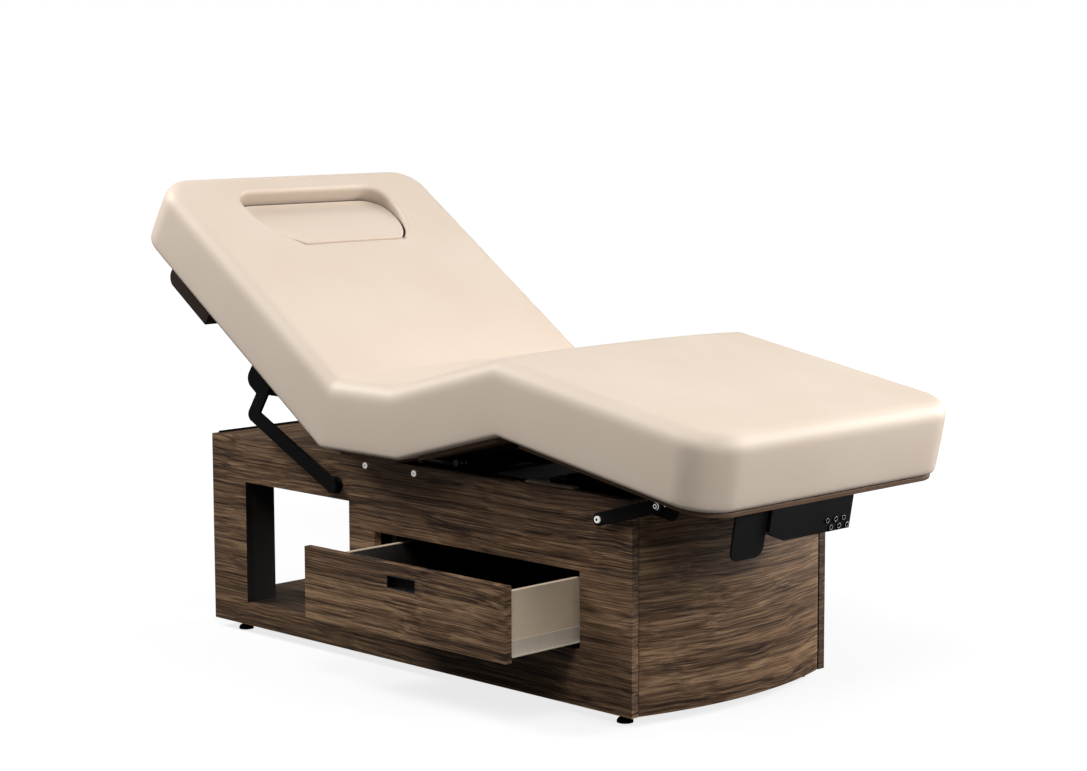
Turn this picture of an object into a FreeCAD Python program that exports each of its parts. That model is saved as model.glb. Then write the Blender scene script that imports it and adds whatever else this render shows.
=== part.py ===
import FreeCAD, Part
import math
import os
import re
from types import SimpleNamespace

import Sketcher

# A spa bed: a jointed mattress on steel frames, lifted over a wooden cabinet with a drawer.
# +X points to the foot end, +Z up. The origin is on the floor, under the cabinet's centre.
# The near side, with the drawer, is at -Y.

Vector = FreeCAD.Vector
Placement = FreeCAD.Placement
Rotation = FreeCAD.Rotation

sizes = {
    # Cabinet
    "cabinet_length": 1357.0,
    "cabinet_width": 608.0,
    "panel_height": 442.0,
    "foot_height": 20.0,
    "side_thickness": 19.0,
    "board_thickness": 16.0,
    "top_board_thickness": 12.0,
    "top_board_end": 416.0,  # from the head end
    "bay_start": 124.0,  # the leg bay's opening, from the head end
    "bay_end": 494.0,
    "bay_sill": 52.5,  # above the panel's lower edge
    "bay_lintel": 103.5,  # below the panel's upper edge
    "post_depth": 84.0,
    "opening_start": 579.5,  # the drawer's opening, from the head end
    "opening_length": 632.0,
    "opening_sill": 117.5,
    "opening_lintel": 161.5,
    "ceiling_lift": 4.0,  # the board over the drawer hides above its opening
    "bow_depth": 44.0,
    "bow_gap": 3.0,
    "bow_thickness": 18.0,
    "bow_setback": 1.0,
    "strip_height": 3.6,  # rubber strip that the backrest comes down on
    "strip_width": 10.0,
    # Levelling feet
    "foot_radius": 17.0,
    "foot_pad_height": 9.0,
    "foot_stem_radius": 5.0,
    "foot_stem_length": 66.0,
    "foot_head_x": 78.0,  # from the head end
    "foot_tail_x": 48.0,  # from the foot end
    "foot_inset": 12.0,  # from the side panel's inner face
    "foot_edge_share": 0.5,
    "foot_top_share": 0.8,
    # Drawer
    "drawer_pull": 204.0,  # how far it stands open
    "front_gap_ends": 6.0,
    "front_gap_height": 3.3,
    "front_thickness": 18.0,
    "drawer_depth": 450.0,
    "drawer_wall": 12.0,
    "drawer_inset_head": 60.0,
    "drawer_inset_foot": 7.0,
    "drawer_top_drop": 13.0,
    "drawer_bottom_lift": 12.0,
    "drawer_floor_lift": 10.0,
    "drawer_floor_thickness": 6.0,
    "pull_length": 86.0,
    "pull_height": 27.0,
    "pull_depth": 14.0,
    "pull_wall": 2.0,
    "pull_drop": 26.0,  # below the front's upper edge
    "partition_depth": 470.0,
    # Drawer runners
    "runner_width": 13.0,
    "runner_steel": 1.5,
    "runner_leg": 32.0,
    "runner_flange": 9.0,
    "runner_channel": 35.0,
    "runner_drop": 18.0,  # the fixed channel starts below the drawer's wall
    "roller_radius": 8.0,
    "roller_gap": 0.3,
    "roller_inset": 16.0,
    # Mattress
    "cushion_width": 794.0,
    "cushion_thickness": 156.0,
    "cushion_crown": 4.0,
    "cushion_side_height": 112.0,  # height at which the side turns over to the top
    "cushion_foot_draw": 7.0,  # how far the side draws in at its lower edge
    "cushion_waist_draw": 1.4,  # and at its middle
    "cushion_waist_share": 0.55,
    "cushion_foot_radius": 4.0,
    "cushion_turn": 44.0,
    "corner_radius": 95.0,
    "back_length": 800.0,
    "seat_length": 254.2,
    "thigh_length": 316.0,
    "leg_length": 575.2,
    "back_crease": 499.7,  # from the cabinet's head end
    "cushion_lift": 24.6,  # above the cabinet's top
    "back_angle": 34.6,
    "thigh_angle": 14.9,
    "leg_angle": 9.97,
    "back_rise": 30.0,  # how much further the back can rise
    "thigh_limit": 25.0,
    "fold_start": 10.0,
    "fold_gap": 0.3,
    # Head recess with its tilting insert
    "recess_line": 512.0,  # fold line, from the back's crease
    "recess_centre": 672.0,
    "recess_end": 724.0,
    "recess_half_width": 233.0,
    "recess_reach": 218.0,
    "recess_floor": 36.0,
    "recess_corner": 52.0,
    "insert_gap": 2.0,
    "insert_thickness": 60.0,
    "insert_tilt": 12.1,
    "insert_draft": 12.0,  # how much smaller the insert is at its underside
    "insert_slope": 16.0,  # and how far the underside starts from the fold line
    "insert_board": 6.0,
    "insert_rod_radius": 4.0,
    "insert_rod_setback": 8.0,  # from the fold line
    "insert_rod_drop": 12.0,  # below the crown
    "insert_rod_half": 190.0,
    "head_box_start": 538.0,
    "head_box_end": 710.5,
    "head_box_width": 648.0,
    "head_box_depth": 78.0,
    "head_box_wall": 9.0,
    "head_box_radius": 25.0,
    # Boards and frames under the cushions
    "ply_thickness": 10.0,
    "ply_inset": 21.0,
    "ply_end_inset": 8.0,
    "ply_lead": 52.0,  # the boards start this far after a crease
    "ply_stop": 16.0,  # and end this far before the next one
    "ply_corner": 80.0,
    "hinge_drop": 24.0,  # hinge axes below the cushions' undersides
    "rail_depth": 12.0,
    "seat_rail_depth": 16.0,
    "rail_width": 10.0,
    "rail_y": 200.0,
    "rail_gap": 1.0,
    "ear_radius": 10.0,
    "pin_radius": 5.0,
    "pin_play": 0.05,
    "pin_head_radius": 8.0,
    "pin_head": 3.0,
    "bar_width": 30.0,
    "bar_depth": 10.0,
    "back_rail_end": 470.0,
    "leg_rail_end": 470.0,
    "back_bar_near": 90.0,
    "back_bar_far": 420.0,
    "thigh_bar_near": 50.0,
    "thigh_bar_far": 235.0,
    "leg_bar_near": 60.0,
    "leg_bar_far": 440.0,
    "seat_bar_head": 16.0,
    "seat_bar_foot": 140.0,
    # Steel frame inside the cabinet's top
    "tube": 30.0,
    "tube_wall": 2.5,
    "frame_drop": 2.0,
    "frame_head": 508.0,  # from the head end
    "frame_tail": 1268.0,
    "pad_start": 1034.0,
    "pad_length": 140.0,
    "pad_width": 18.0,
    "pad_thickness": 5.0,
    "frame_bolt_head_x": 551.5,
    "frame_bolt_tail_x": 712.0,
    "frame_bolt_drop": 17.2,
    "bolt_radius": 4.0,
    "bolt_head_radius": 6.5,
    "bolt_head_height": 4.0,
    # Backrest lift
    "shaft_x": 453.4,  # from the head end
    "shaft_drop": 71.8,  # below the cabinet's top
    "shaft_radius": 11.0,
    "bush_radius": 16.0,
    "bush_flange_radius": 20.0,
    "bush_flange": 3.0,
    "elbow_x": 177.8,
    "elbow_rise": 62.1,  # above the cabinet's top
    "arm_tip_x": 228.4,
    "arm_tip_rise": 139.0,
    "arm_half_width": 16.2,
    "arm_hub_radius": 17.0,
    "arm_thickness": 8.0,
    "plate_thickness": 6.0,
    "plate_gap": 2.0,
    "slot_play": 1.0,
    "cam_start": 212.0,
    "cam_end": 360.3,
    "cam_shoulder": 45.0,
    "cam_hip": 69.0,
    "cam_hip_at": 258.0,
    "cam_toe": 111.5,
    "cam_toe_at": 308.0,
    "cam_heel": 111.0,
    "cam_radius": 23.0,
    "crank_reach": 38.8,
    "crank_length": 54.0,
    "crank_half_width": 11.0,
    "crank_hub_radius": 15.0,
    "crank_thickness": 10.0,
    # Linear actuators
    "back_actuator_y": -70.0,
    "leg_actuator_y": 70.0,
    "rod_radius": 8.0,
    "fork_width": 22.0,
    "fork_height": 20.0,
    "fork_reach": 26.0,
    "fork_nose": 9.0,
    "fork_root": 8.0,
    "fork_play": 0.5,
    "rod_insertion": 60.0,  # how deep the rod sits in its tube at rest
    "rod_spare": 40.0,
    "actuator_radius": 15.0,
    "back_actuator_start": 138.0,  # tube's mouth, from the pin at rest
    "leg_actuator_start": 64.0,
    "back_crossbar": 868.0,  # from the head end
    "leg_crossbar": 1110.0,
    "gearbox_length": 70.0,
    "gearbox_width": 46.0,
    "gearbox_height": 44.0,
    "lever_reach": 60.0,
    "lever_length": 72.0,
    "lever_heel": 30.0,  # where the lever starts to widen towards its bar
    # Leg link
    "link_pivot_x": 1280.4,  # from the head end
    "link_pivot_drop": 44.4,
    "link_tip_x": 1438.1,
    "link_tip_rise": 1.4,  # above the cabinet's top
    "link_half_width": 14.0,
    "link_ratio": 0.5,  # turn of the links for a turn of the thigh rest
    "bracket_start": 359.0,
    "bracket_end": 439.0,
    "bracket_depth": 60.0,
    "bracket_radius": 20.0,
    "link_bolt_radius": 5.0,
    "link_bolt_head_radius": 7.0,
    "link_nut_radius": 8.0,
    "link_nut_height": 5.0,
    # Control box under the foot end
    "box_near": 182.5,
    "box_far": 70.0,
    "box_depth": 80.0,
    "box_height": 69.5,
    "box_wall": 2.5,
    "box_chamfer_y": 47.0,
    "box_chamfer_z": 23.5,
    "socket_radius": 6.5,
    "socket_bore": 4.3,
    "socket_step": 0.6,
    "socket_rim": 2.0,
    "socket_length": 12.0,
    "socket_bottom": 4.0,
    "socket_pitch": 25.5,
    "socket_stagger": 14.0,
    "socket_first": 5.0,
    "socket_row_upper": 44.5,
    "socket_row_lower": 60.5,
    "tab_near": 280.0,
    "tab_far": 183.5,
    "tab_depth": 97.0,
    "tab_thickness": 5.0,
    "tab_setback": 8.0,
    "tab_radius": 22.0,
    # Power supply
    "supply_x": 1240.0,
    "supply_length": 90.0,
    "supply_width": 140.0,
    "supply_height": 70.0,
    "supply_y": 60.0,
    "inlet_x": 1265.0,
    "inlet_height": 90.0,
    "inlet_width": 50.0,
    "inlet_rise": 28.0,
    "inlet_flange": 5.0,
    "inlet_lip": 2.5,
    "inlet_depth": 34.0,
    "overrun": 5.0,  # how far cutting tools run past a face
}

doc = FreeCAD.newDocument("SpaBed")
sheet = doc.addObject("Spreadsheet::Sheet", "Sizes")
for row, (name, value) in enumerate(sizes.items(), 1):
    sheet.set(f"A{row}", name)
    sheet.set(f"B{row}", str(value))
    sheet.setAlias(f"B{row}", name)
doc.recompute()
v = SimpleNamespace(**{name: float(sheet.get(name)) for name in sizes})

parts = []


def in_sheet(text):
    """The same expression with each size's name pointing at the sheet."""
    return re.sub(r"[a-z]\w*", lambda m: f"Sizes.{m[0]}" if m[0] in sizes else m[0], text)


def bind(thing, **expressions):
    for path, text in expressions.items():
        thing.setExpression(path.replace("__", "."), in_sheet(text))


def keep(thing, label):
    """Names a finished sub-part."""
    thing.Label = label
    parts.append(thing)
    return thing


def block(name, x, y, z, length, width, height):
    """A plain box from its low corner; each argument is an expression in the sheet's names."""
    box = doc.addObject("Part::Box", name)
    bind(box, Length=length, Width=width, Height=height)
    bind(box, Placement__Base__x=x, Placement__Base__y=y, Placement__Base__z=z)
    return box


def rod(name, axis, x, y, z, radius, length):
    """A plain cylinder that starts at x, y, z and runs along an axis of the frame."""
    cylinder = doc.addObject("Part::Cylinder", name)
    cylinder.Placement.Rotation = Rotation(Vector(0, 0, 1), axis)
    bind(cylinder, Radius=radius, Height=length)
    bind(cylinder, Placement__Base__x=x, Placement__Base__y=y, Placement__Base__z=z)
    return cylinder


def joined(name, *pieces):
    fuse = doc.addObject("Part::MultiFuse", name)
    fuse.Shapes = list(pieces)
    return fuse


def cut(name, base, *tools):
    result = doc.addObject("Part::Cut", name)
    result.Base = base
    result.Tool = tools[0] if len(tools) == 1 else joined(f"{name}_tools", *tools)
    return result


def group(name, *pieces):
    """Separate solids that share one node."""
    compound = doc.addObject("Part::Compound", name)
    compound.Links = list(pieces)
    return compound


def feature(label, shape, placement=None):
    """A sub-part whose shape the source works out itself."""
    thing = doc.addObject("Part::Feature", label)
    thing.Shape = shape
    if placement:
        thing.Placement = placement
    return keep(thing, label)


def plane_of(body, role):
    return next(plane for plane in body.Origin.OriginFeatures if plane.Role == role)


def body_on(name, role):
    """A body with one sketch that lies on one of the body's own planes."""
    body = doc.addObject("PartDesign::Body", name)
    sketch = body.newObject("Sketcher::SketchObject", f"{name}_outline")
    sketch.AttachmentSupport = [(plane_of(body, role), "")]
    sketch.MapMode = "FlatFace"
    return body, sketch


def hold_point(sketch, geometry, point, across, up):
    """Ties one point of the sketch to the sketch's origin by two expressions."""
    for kind, text in (("DistanceX", across), ("DistanceY", up)):
        index = sketch.addConstraint(Sketcher.Constraint(kind, -1, 1, geometry, point, 1.0))
        sketch.setExpression(f"Constraints[{index}]", in_sheet(text))


def outline(sketch, corners):
    """A closed outline of straight lines; each corner is a pair of expressions."""
    count = len(corners)
    around = [Vector(math.cos(a), math.sin(a), 0) for a in
              (2 * math.pi * k / count for k in range(count))]
    first = sketch.GeometryCount
    for k in range(count):
        sketch.addGeometry(Part.LineSegment(around[k], around[(k + 1) % count]), False)
    for k in range(count):
        following = first + (k + 1) % count
        sketch.addConstraint(Sketcher.Constraint("Coincident", first + k, 2, following, 1))
    for k, (across, up) in enumerate(corners):
        hold_point(sketch, first + k, 1, across, up)


def rectangle(sketch, left, low, right, high):
    outline(sketch, [(left, low), (right, low), (right, high), (left, high)])


def circle(sketch, across, up, radius):
    index = sketch.addGeometry(Part.Circle(Vector(0, 0, 0), Vector(0, 0, 1), 1.0), False)
    limit = sketch.addConstraint(Sketcher.Constraint("Radius", index, 1.0))
    sketch.setExpression(f"Constraints[{limit}]", in_sheet(radius))
    hold_point(sketch, index, 3, across, up)


def pad(body, sketch, length, towards_plus=False):
    thing = body.newObject("PartDesign::Pad", f"{body.Name}_pad")
    thing.Profile = sketch
    thing.Reversed = towards_plus
    bind(thing, Length=length)
    return thing


def round_upright_edges(body, base, direction, radius, wanted=lambda at: True):
    """Rounds the body's edges that run along a direction, where their middle is wanted."""
    doc.recompute()
    names = []
    for number, edge in enumerate(base.Shape.Edges, 1):
        if isinstance(edge.Curve, Part.Line) and abs(edge.Curve.Direction * direction) > 0.999:
            if wanted(edge.CenterOfMass):
                names.append(f"Edge{number}")
    fillet = body.newObject("PartDesign::Fillet", f"{body.Name}_round")
    fillet.Base = (base, names)
    bind(fillet, Radius=radius)
    return fillet


def rounded_wire(corners, flat):
    """A closed wire through corners given as (across, up, radius); flat turns them into points."""
    edges, ends = [], []
    count = len(corners)
    for k, (x, z, radius) in enumerate(corners):
        before = corners[k - 1]
        after = corners[(k + 1) % count]
        here = Vector(x, z, 0)
        back = (Vector(before[0], before[1], 0) - here).normalize()
        on = (Vector(after[0], after[1], 0) - here).normalize()
        if radius <= 0:
            ends.append((here, here, here))
            continue
        half = back.getAngle(on) / 2
        reach = radius / math.tan(half)
        centre = here + (back + on).normalize() * (radius / math.sin(half))
        nearest = centre + (here - centre).normalize() * radius
        ends.append((here + back * reach, nearest, here + on * reach))
    for k, (start, middle, end) in enumerate(ends):
        if start != end:
            edges.append(Part.Arc(flat(start), flat(middle), flat(end)).toShape())
        following = ends[(k + 1) % count][0]
        if (following - end).Length > 1e-6:
            edges.append(Part.LineSegment(flat(end), flat(following)).toShape())
    return Part.Wire(edges)


def upright(point):
    """From a sketch of across and up to the X-Z plane."""
    return Vector(point.x, 0, point.y)


def across_plane(point):
    """From a sketch of sideways and up to the Y-Z plane."""
    return Vector(0, point.x, point.y)


def slab(corners, y_low, y_high):
    """A plate in the X-Z plane with rounded corners, between two values of Y."""
    shape = Part.Face(rounded_wire(corners, upright)).extrude(Vector(0, y_high - y_low, 0))
    shape.translate(Vector(0, y_low, 0))
    return shape


def disc(x, z, radius, y_low, y_high):
    return Part.makeCylinder(radius, y_high - y_low, Vector(x, y_low, z), Vector(0, 1, 0))


def strap(points, half_width, y_low, y_high):
    """A flat bar along a path in the X-Z plane, with round ends and bends."""
    pieces = [disc(x, z, half_width, y_low, y_high) for x, z in points]
    for (x0, z0), (x1, z1) in zip(points, points[1:]):
        length = math.hypot(x1 - x0, z1 - z0)
        side_x = -(z1 - z0) / length * half_width
        side_z = (x1 - x0) / length * half_width
        ring = [(x0 + side_x, z0 + side_z, 0), (x1 + side_x, z1 + side_z, 0),
                (x1 - side_x, z1 - side_z, 0), (x0 - side_x, z0 - side_z, 0)]
        pieces.append(slab(ring, y_low, y_high))
    return pieces[0].fuse(pieces[1:]).removeSplitter()


def mirrored(shape):
    return shape.mirror(Vector(0, 0, 0), Vector(0, 1, 0))


def both_sides(shape):
    """The same piece at the near side and at the far side."""
    return Part.makeCompound([shape, mirrored(shape)])


# Places that many pieces share, worked out from the sheet
half_length = v.cabinet_length / 2
half_width = v.cabinet_width / 2
inner_face = half_width - v.side_thickness
cabinet_top = v.foot_height + v.panel_height
cushion_base = cabinet_top + v.cushion_lift
back_crease_x = v.back_crease - half_length
thigh_crease_x = back_crease_x + v.seat_length
thigh_turn = math.radians(v.thigh_angle)
knee_x = thigh_crease_x + v.thigh_length * math.cos(thigh_turn)
knee_z = cushion_base + v.thigh_length * math.sin(thigh_turn)

# A section's own frame has its crease at the origin, its underside on z = 0 and lies flat
across_axis = Vector(0, 1, 0)
back_frame = Placement(Vector(back_crease_x, 0, cushion_base), Rotation(across_axis, v.back_angle))
seat_frame = Placement(Vector(back_crease_x, 0, cushion_base), Rotation())
thigh_frame = Placement(Vector(thigh_crease_x, 0, cushion_base), Rotation(across_axis, -v.thigh_angle))
leg_frame = Placement(Vector(knee_x, 0, knee_z), Rotation(across_axis, v.leg_angle))


def hinge_offset(fold_angle):
    """How far a hinge lies past its crease, so that both sections keep the same drop."""
    return v.hinge_drop * math.tan(math.radians(fold_angle) / 2)


knee_fold = v.thigh_angle + v.leg_angle
back_hinge_x = hinge_offset(v.back_angle)  # in the back's frame, where the cushion lies at -x
thigh_hinge_x = -hinge_offset(v.thigh_angle)  # in the thigh's frame
knee_hinge_x = hinge_offset(knee_fold)  # in the leg's frame
back_hinge = back_frame.multVec(Vector(back_hinge_x, 0, -v.hinge_drop))
thigh_hinge = thigh_frame.multVec(Vector(thigh_hinge_x, 0, -v.hinge_drop))
knee_hinge = leg_frame.multVec(Vector(knee_hinge_x, 0, -v.hinge_drop))


# Cabinet: side panels

foot_end = "cabinet_length / 2"
head_end = "-cabinet_length / 2"
top = "(foot_height + panel_height)"
wall_inside = "(cabinet_width / 2 - side_thickness)"
opening_height = "(panel_height - opening_sill - opening_lintel)"


def side_panel(label, near):
    body, sketch = body_on(label, "XZ_Plane")
    rectangle(sketch, head_end, "foot_height", foot_end, top)
    rectangle(sketch, f"{head_end} + bay_start", "foot_height + bay_sill",
              f"{head_end} + bay_end", f"{top} - bay_lintel")
    if near:
        rectangle(sketch, f"{head_end} + opening_start", "foot_height + opening_sill",
                  f"{head_end} + opening_start + opening_length",
                  f"foot_height + opening_sill + {opening_height}")
    else:
        rectangle(sketch, f"{head_end} + inlet_x", "foot_height + inlet_height",
                  f"{head_end} + inlet_x + inlet_width", "foot_height + inlet_height + inlet_rise")
    circle(sketch, f"{head_end} + shaft_x", f"{top} - shaft_drop", "bush_radius + pin_play")
    circle(sketch, f"{head_end} + link_pivot_x", f"{top} - link_pivot_drop",
           "link_bolt_radius + pin_play")
    for place in ("frame_bolt_head_x", "frame_bolt_tail_x"):
        circle(sketch, f"{head_end} + {place}", f"{top} - frame_bolt_drop", "bolt_radius + pin_play")
    pad(body, sketch, "side_thickness")
    bind(body, Placement__Base__y=f"-{wall_inside}" if near else "cabinet_width / 2")
    return keep(body, label)


side_panel("near_side_panel", True)
side_panel("far_side_panel", False)

# Cabinet: inner boards; two of them reach the bowed panel that closes the foot end

bow_half = f"({wall_inside} - bow_gap)"
bow_radius = f"(({bow_half} ^ 2 + bow_depth ^ 2) / (2 * bow_depth))"
bow_centre = f"({foot_end} - bow_setback + bow_depth - {bow_radius})"


def bow_inside(name):
    """Everything inside the bowed panel's inner face."""
    return rod(name, Vector(0, 0, 1), bow_centre, "0", "foot_height - overrun",
               f"{bow_radius} - bow_thickness", "panel_height + 2 * overrun")


def trimmed_to_bow(name, board):
    trimmed = doc.addObject("Part::Common", name)
    trimmed.Base = board
    trimmed.Tool = bow_inside(f"{name}_curve")
    return trimmed


base_top = "(foot_height + bay_sill)"
lintel = f"({top} - bay_lintel)"
inside_width = f"(2 * {wall_inside})"

foot_places = [(f"{head_end} + foot_head_x", -1), (f"{head_end} + foot_head_x", 1),
               (f"{foot_end} - foot_tail_x", -1), (f"{foot_end} - foot_tail_x", 1)]
stem_holes = [rod(f"stem_hole_{k}", Vector(0, 0, 1), x, f"{side} * ({wall_inside} - foot_inset)",
                  "foot_height", "foot_stem_radius + pin_play",
                  "foot_stem_length + fold_gap - foot_height")
              for k, (x, side) in enumerate(foot_places, 1)]
base_blank = block("base_blank", head_end, f"-{wall_inside}", f"{base_top} - board_thickness",
                   "cabinet_length + bow_depth", inside_width, "board_thickness")
keep(cut("base_cut", trimmed_to_bow("base_bowed", base_blank), *stem_holes), "base_board")
keep(block("top_board", head_end, f"-{wall_inside}", f"{top} - top_board_thickness",
           "top_board_end", inside_width, "top_board_thickness"), "top_board")
post_width = "(post_depth - side_thickness)"
post_height = "(panel_height - bay_sill - bay_lintel)"
keep(group("end_boards",
           block("plinth", head_end, f"-{wall_inside}", "foot_height",
                 "side_thickness", inside_width, "bay_sill - board_thickness"),
           block("apron", head_end, f"-{wall_inside}", lintel,
                 "side_thickness", inside_width, "bay_lintel - top_board_thickness"),
           block("near_post", head_end, f"-{wall_inside}", base_top,
                 "side_thickness", post_width, post_height),
           block("far_post", head_end, f"{wall_inside} - {post_width}", base_top,
                 "side_thickness", post_width, post_height)), "head_end_boards")
lining_x = f"{head_end} + bay_start - board_thickness"
lining_start = f"{head_end} + side_thickness"
lining_reach = "bay_start - board_thickness - side_thickness"
keep(group("bay_boards",
           block("divider", f"{head_end} + bay_end", f"-{wall_inside}", base_top,
                 "board_thickness", inside_width, post_height),
           block("near_lining", lining_x, f"-{wall_inside}", base_top,
                 "board_thickness", post_width, post_height),
           block("far_lining", lining_x, f"{wall_inside} - {post_width}", base_top,
                 "board_thickness", post_width, post_height),
           block("near_inner_lining", lining_start,
                 f"-{wall_inside} + {post_width} - board_thickness", base_top,
                 lining_reach, "board_thickness", post_height),
           block("far_inner_lining", lining_start, f"{wall_inside} - {post_width}", base_top,
                 lining_reach, "board_thickness", post_height)), "bay_walls")
ceiling_z = f"({top} - opening_lintel + ceiling_lift)"
keep(group("inner_shelves",
           block("bay_ceiling", f"{head_end} + side_thickness", f"-{wall_inside}", lintel,
                 "bay_end - side_thickness + board_thickness", inside_width, "board_thickness"),
           trimmed_to_bow("drawer_ceiling", block(
               "ceiling_blank", f"{head_end} + bay_end + board_thickness", f"-{wall_inside}",
               ceiling_z, "cabinet_length + bow_depth - bay_end - board_thickness", inside_width,
               "board_thickness"))), "inner_shelves")
box_foot_x = f"({head_end} + opening_start + opening_length - front_gap_ends - drawer_inset_foot)"
box_head_x = f"({head_end} + opening_start + front_gap_ends + drawer_inset_head)"
partition_height = f"{ceiling_z} - {base_top}"
keep(group("drawer_partitions",
           block("head_partition", f"{box_head_x} - runner_width - board_thickness",
                 f"-{wall_inside}", base_top, "board_thickness", "partition_depth",
                 partition_height),
           block("foot_partition", f"{box_foot_x} + runner_width", f"-{wall_inside}", base_top,
                 "board_thickness", "partition_depth", partition_height)), "drawer_partitions")
keep(block("rubber_strip", head_end, f"-{wall_inside}", top,
           "strip_width", inside_width, "strip_height"), "rubber_strip")

# Cabinet: bowed panel across the foot end, a slice of a tube

bow_tube = cut("bow_tube",
               rod("bow_outer", Vector(0, 0, 1), bow_centre, "0", "foot_height", bow_radius,
                   "panel_height"), bow_inside("bow_inner"))
bow_slice = doc.addObject("Part::Common", "foot_panel")
bow_slice.Base = bow_tube
bow_slice.Tool = block("bow_limits", f"{foot_end} - bow_setback - bow_thickness",
                       f"-{bow_half}", "foot_height", "2 * bow_depth + bow_thickness",
                       f"2 * {bow_half}", "panel_height")
keep(bow_slice, "foot_panel")

# Levelling feet, screwed into the base board


def revolved_body(name, profile):
    """A body turned about its own Z axis; the profile's corners are (radius, height)."""
    body, sketch = body_on(name, "XZ_Plane")
    outline(sketch, profile)
    turn = body.newObject("PartDesign::Revolution", f"{name}_turn")
    turn.Profile = sketch
    turn.ReferenceAxis = (sketch, ["V_Axis"])
    turn.Angle = 360.0
    return body


feet = []
for number, (x, side) in enumerate(foot_places, 1):
    foot = revolved_body(f"foot_{number}", [
        ("0", "0"), ("foot_radius", "0"), ("foot_radius", "foot_pad_height * foot_edge_share"),
        ("foot_radius * foot_top_share", "foot_pad_height"), ("foot_stem_radius", "foot_pad_height"),
        ("foot_stem_radius", "foot_stem_length"), ("0", "foot_stem_length")])
    bind(foot, Placement__Base__x=x, Placement__Base__y=f"{side} * ({wall_inside} - foot_inset)")
    feet.append(foot)
keep(group("feet", *feet), "levelling_feet")

# Drawer, standing open by its pull

front_y = "(-cabinet_width / 2 - drawer_pull)"
front_x = f"({head_end} + opening_start + front_gap_ends)"
front_z = "(foot_height + opening_sill + front_gap_height)"
front_length = "(opening_length - 2 * front_gap_ends)"
front_height = f"({opening_height} - 2 * front_gap_height)"

front_body, front_sketch = body_on("drawer_front", "XZ_Plane")
rectangle(front_sketch, front_x, front_z, f"{front_x} + {front_length}",
          f"{front_z} + {front_height}")
pull_x = f"({front_x} + {front_length} / 2 - pull_length / 2)"
pull_z = f"({front_z} + {front_height} - pull_drop - pull_height)"
rectangle(front_sketch, pull_x, pull_z, f"{pull_x} + pull_length", f"{pull_z} + pull_height")
pad(front_body, front_sketch, "front_thickness")
bind(front_body, Placement__Base__y=f"{front_y} + front_thickness")
keep(front_body, "drawer_front")

pull_shell = block("pull_shell", pull_x, front_y, pull_z, "pull_length", "pull_depth", "pull_height")
pull_hollow = block("pull_hollow", f"{pull_x} + pull_wall", f"{front_y} - overrun",
                    f"{pull_z} + pull_wall", "pull_length - 2 * pull_wall",
                    "pull_depth - pull_wall + overrun", "pull_height - 2 * pull_wall")
keep(cut("flush_pull", pull_shell, pull_hollow), "flush_pull")

side_z = f"({front_z} + drawer_bottom_lift)"
side_height = f"({front_height} - drawer_bottom_lift - drawer_top_drop)"
side_y = f"({front_y} + front_thickness)"
keep(group("drawer_sides",
           block("head_drawer_side", box_head_x, side_y, side_z,
                 "drawer_wall", "drawer_depth", side_height),
           block("foot_drawer_side", f"{box_foot_x} - drawer_wall", side_y, side_z,
                 "drawer_wall", "drawer_depth", side_height)), "drawer_sides")
between_x = f"({box_head_x} + drawer_wall)"
between_length = f"({box_foot_x} - {box_head_x} - 2 * drawer_wall)"
keep(block("drawer_back", between_x, f"{side_y} + drawer_depth - drawer_wall", side_z,
           between_length, "drawer_wall", side_height), "drawer_back")
keep(block("drawer_floor", between_x, side_y, f"{side_z} + drawer_floor_lift", between_length,
           "drawer_depth - drawer_wall", "drawer_floor_thickness"), "drawer_floor")

# Drawer runners: an angle under each side runs on a roller of the fixed channel

moving, fixed = [], []
roller_z = f"({side_z} - runner_steel - roller_gap - roller_radius)"
for side, wall_x, sign in (("head", box_head_x, -1), ("foot", box_foot_x, 1)):
    low = "" if sign > 0 else " - runner_steel"
    upright_leg = block(f"{side}_runner_leg", f"{wall_x}{low}", side_y, f"{side_z} - runner_steel",
                        "runner_steel", "drawer_depth", "runner_leg")
    foot_leg = block(f"{side}_runner_foot",
                     f"{wall_x} - drawer_wall" if sign > 0 else wall_x, side_y,
                     f"{side_z} - runner_steel", "drawer_wall", "drawer_depth", "runner_steel")
    lip = block(f"{side}_runner_lip",
                f"{wall_x}" if sign > 0 else f"{wall_x} - runner_flange", side_y,
                f"{side_z} - runner_steel", "runner_flange", "drawer_depth", "runner_steel")
    moving.append(joined(f"{side}_moving_runner", upright_leg, foot_leg, lip))
    guide_x = f"({wall_x} + {sign} * runner_width)"
    channel_z = f"({side_z} - runner_drop)"
    web = block(f"{side}_channel_web", f"{guide_x} - runner_steel" if sign > 0 else guide_x,
                f"-{wall_inside}", channel_z, "runner_steel", "drawer_depth", "runner_channel")
    ledges = []
    for edge, z in (("low", channel_z), ("high", f"{channel_z} + runner_channel - runner_steel")):
        ledges.append(block(f"{side}_channel_{edge}",
                            f"{guide_x} - runner_flange" if sign > 0 else guide_x,
                            f"-{wall_inside}", z, "runner_flange", "drawer_depth", "runner_steel"))
    axle_x = f"{guide_x} - runner_steel" if sign > 0 else f"{guide_x} + runner_steel"
    wheel = rod(f"{side}_roller", Vector(-sign, 0, 0), axle_x,
                f"-{wall_inside} + roller_inset", roller_z, "roller_radius",
                "runner_flange - runner_steel")
    fixed += [joined(f"{side}_channel", web, *ledges), wheel]
keep(group("drawer_angles", *moving), "moving_runners")
keep(group("channels_and_rollers", *fixed), "fixed_runners")

# Steel frame in the cabinet's top


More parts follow.
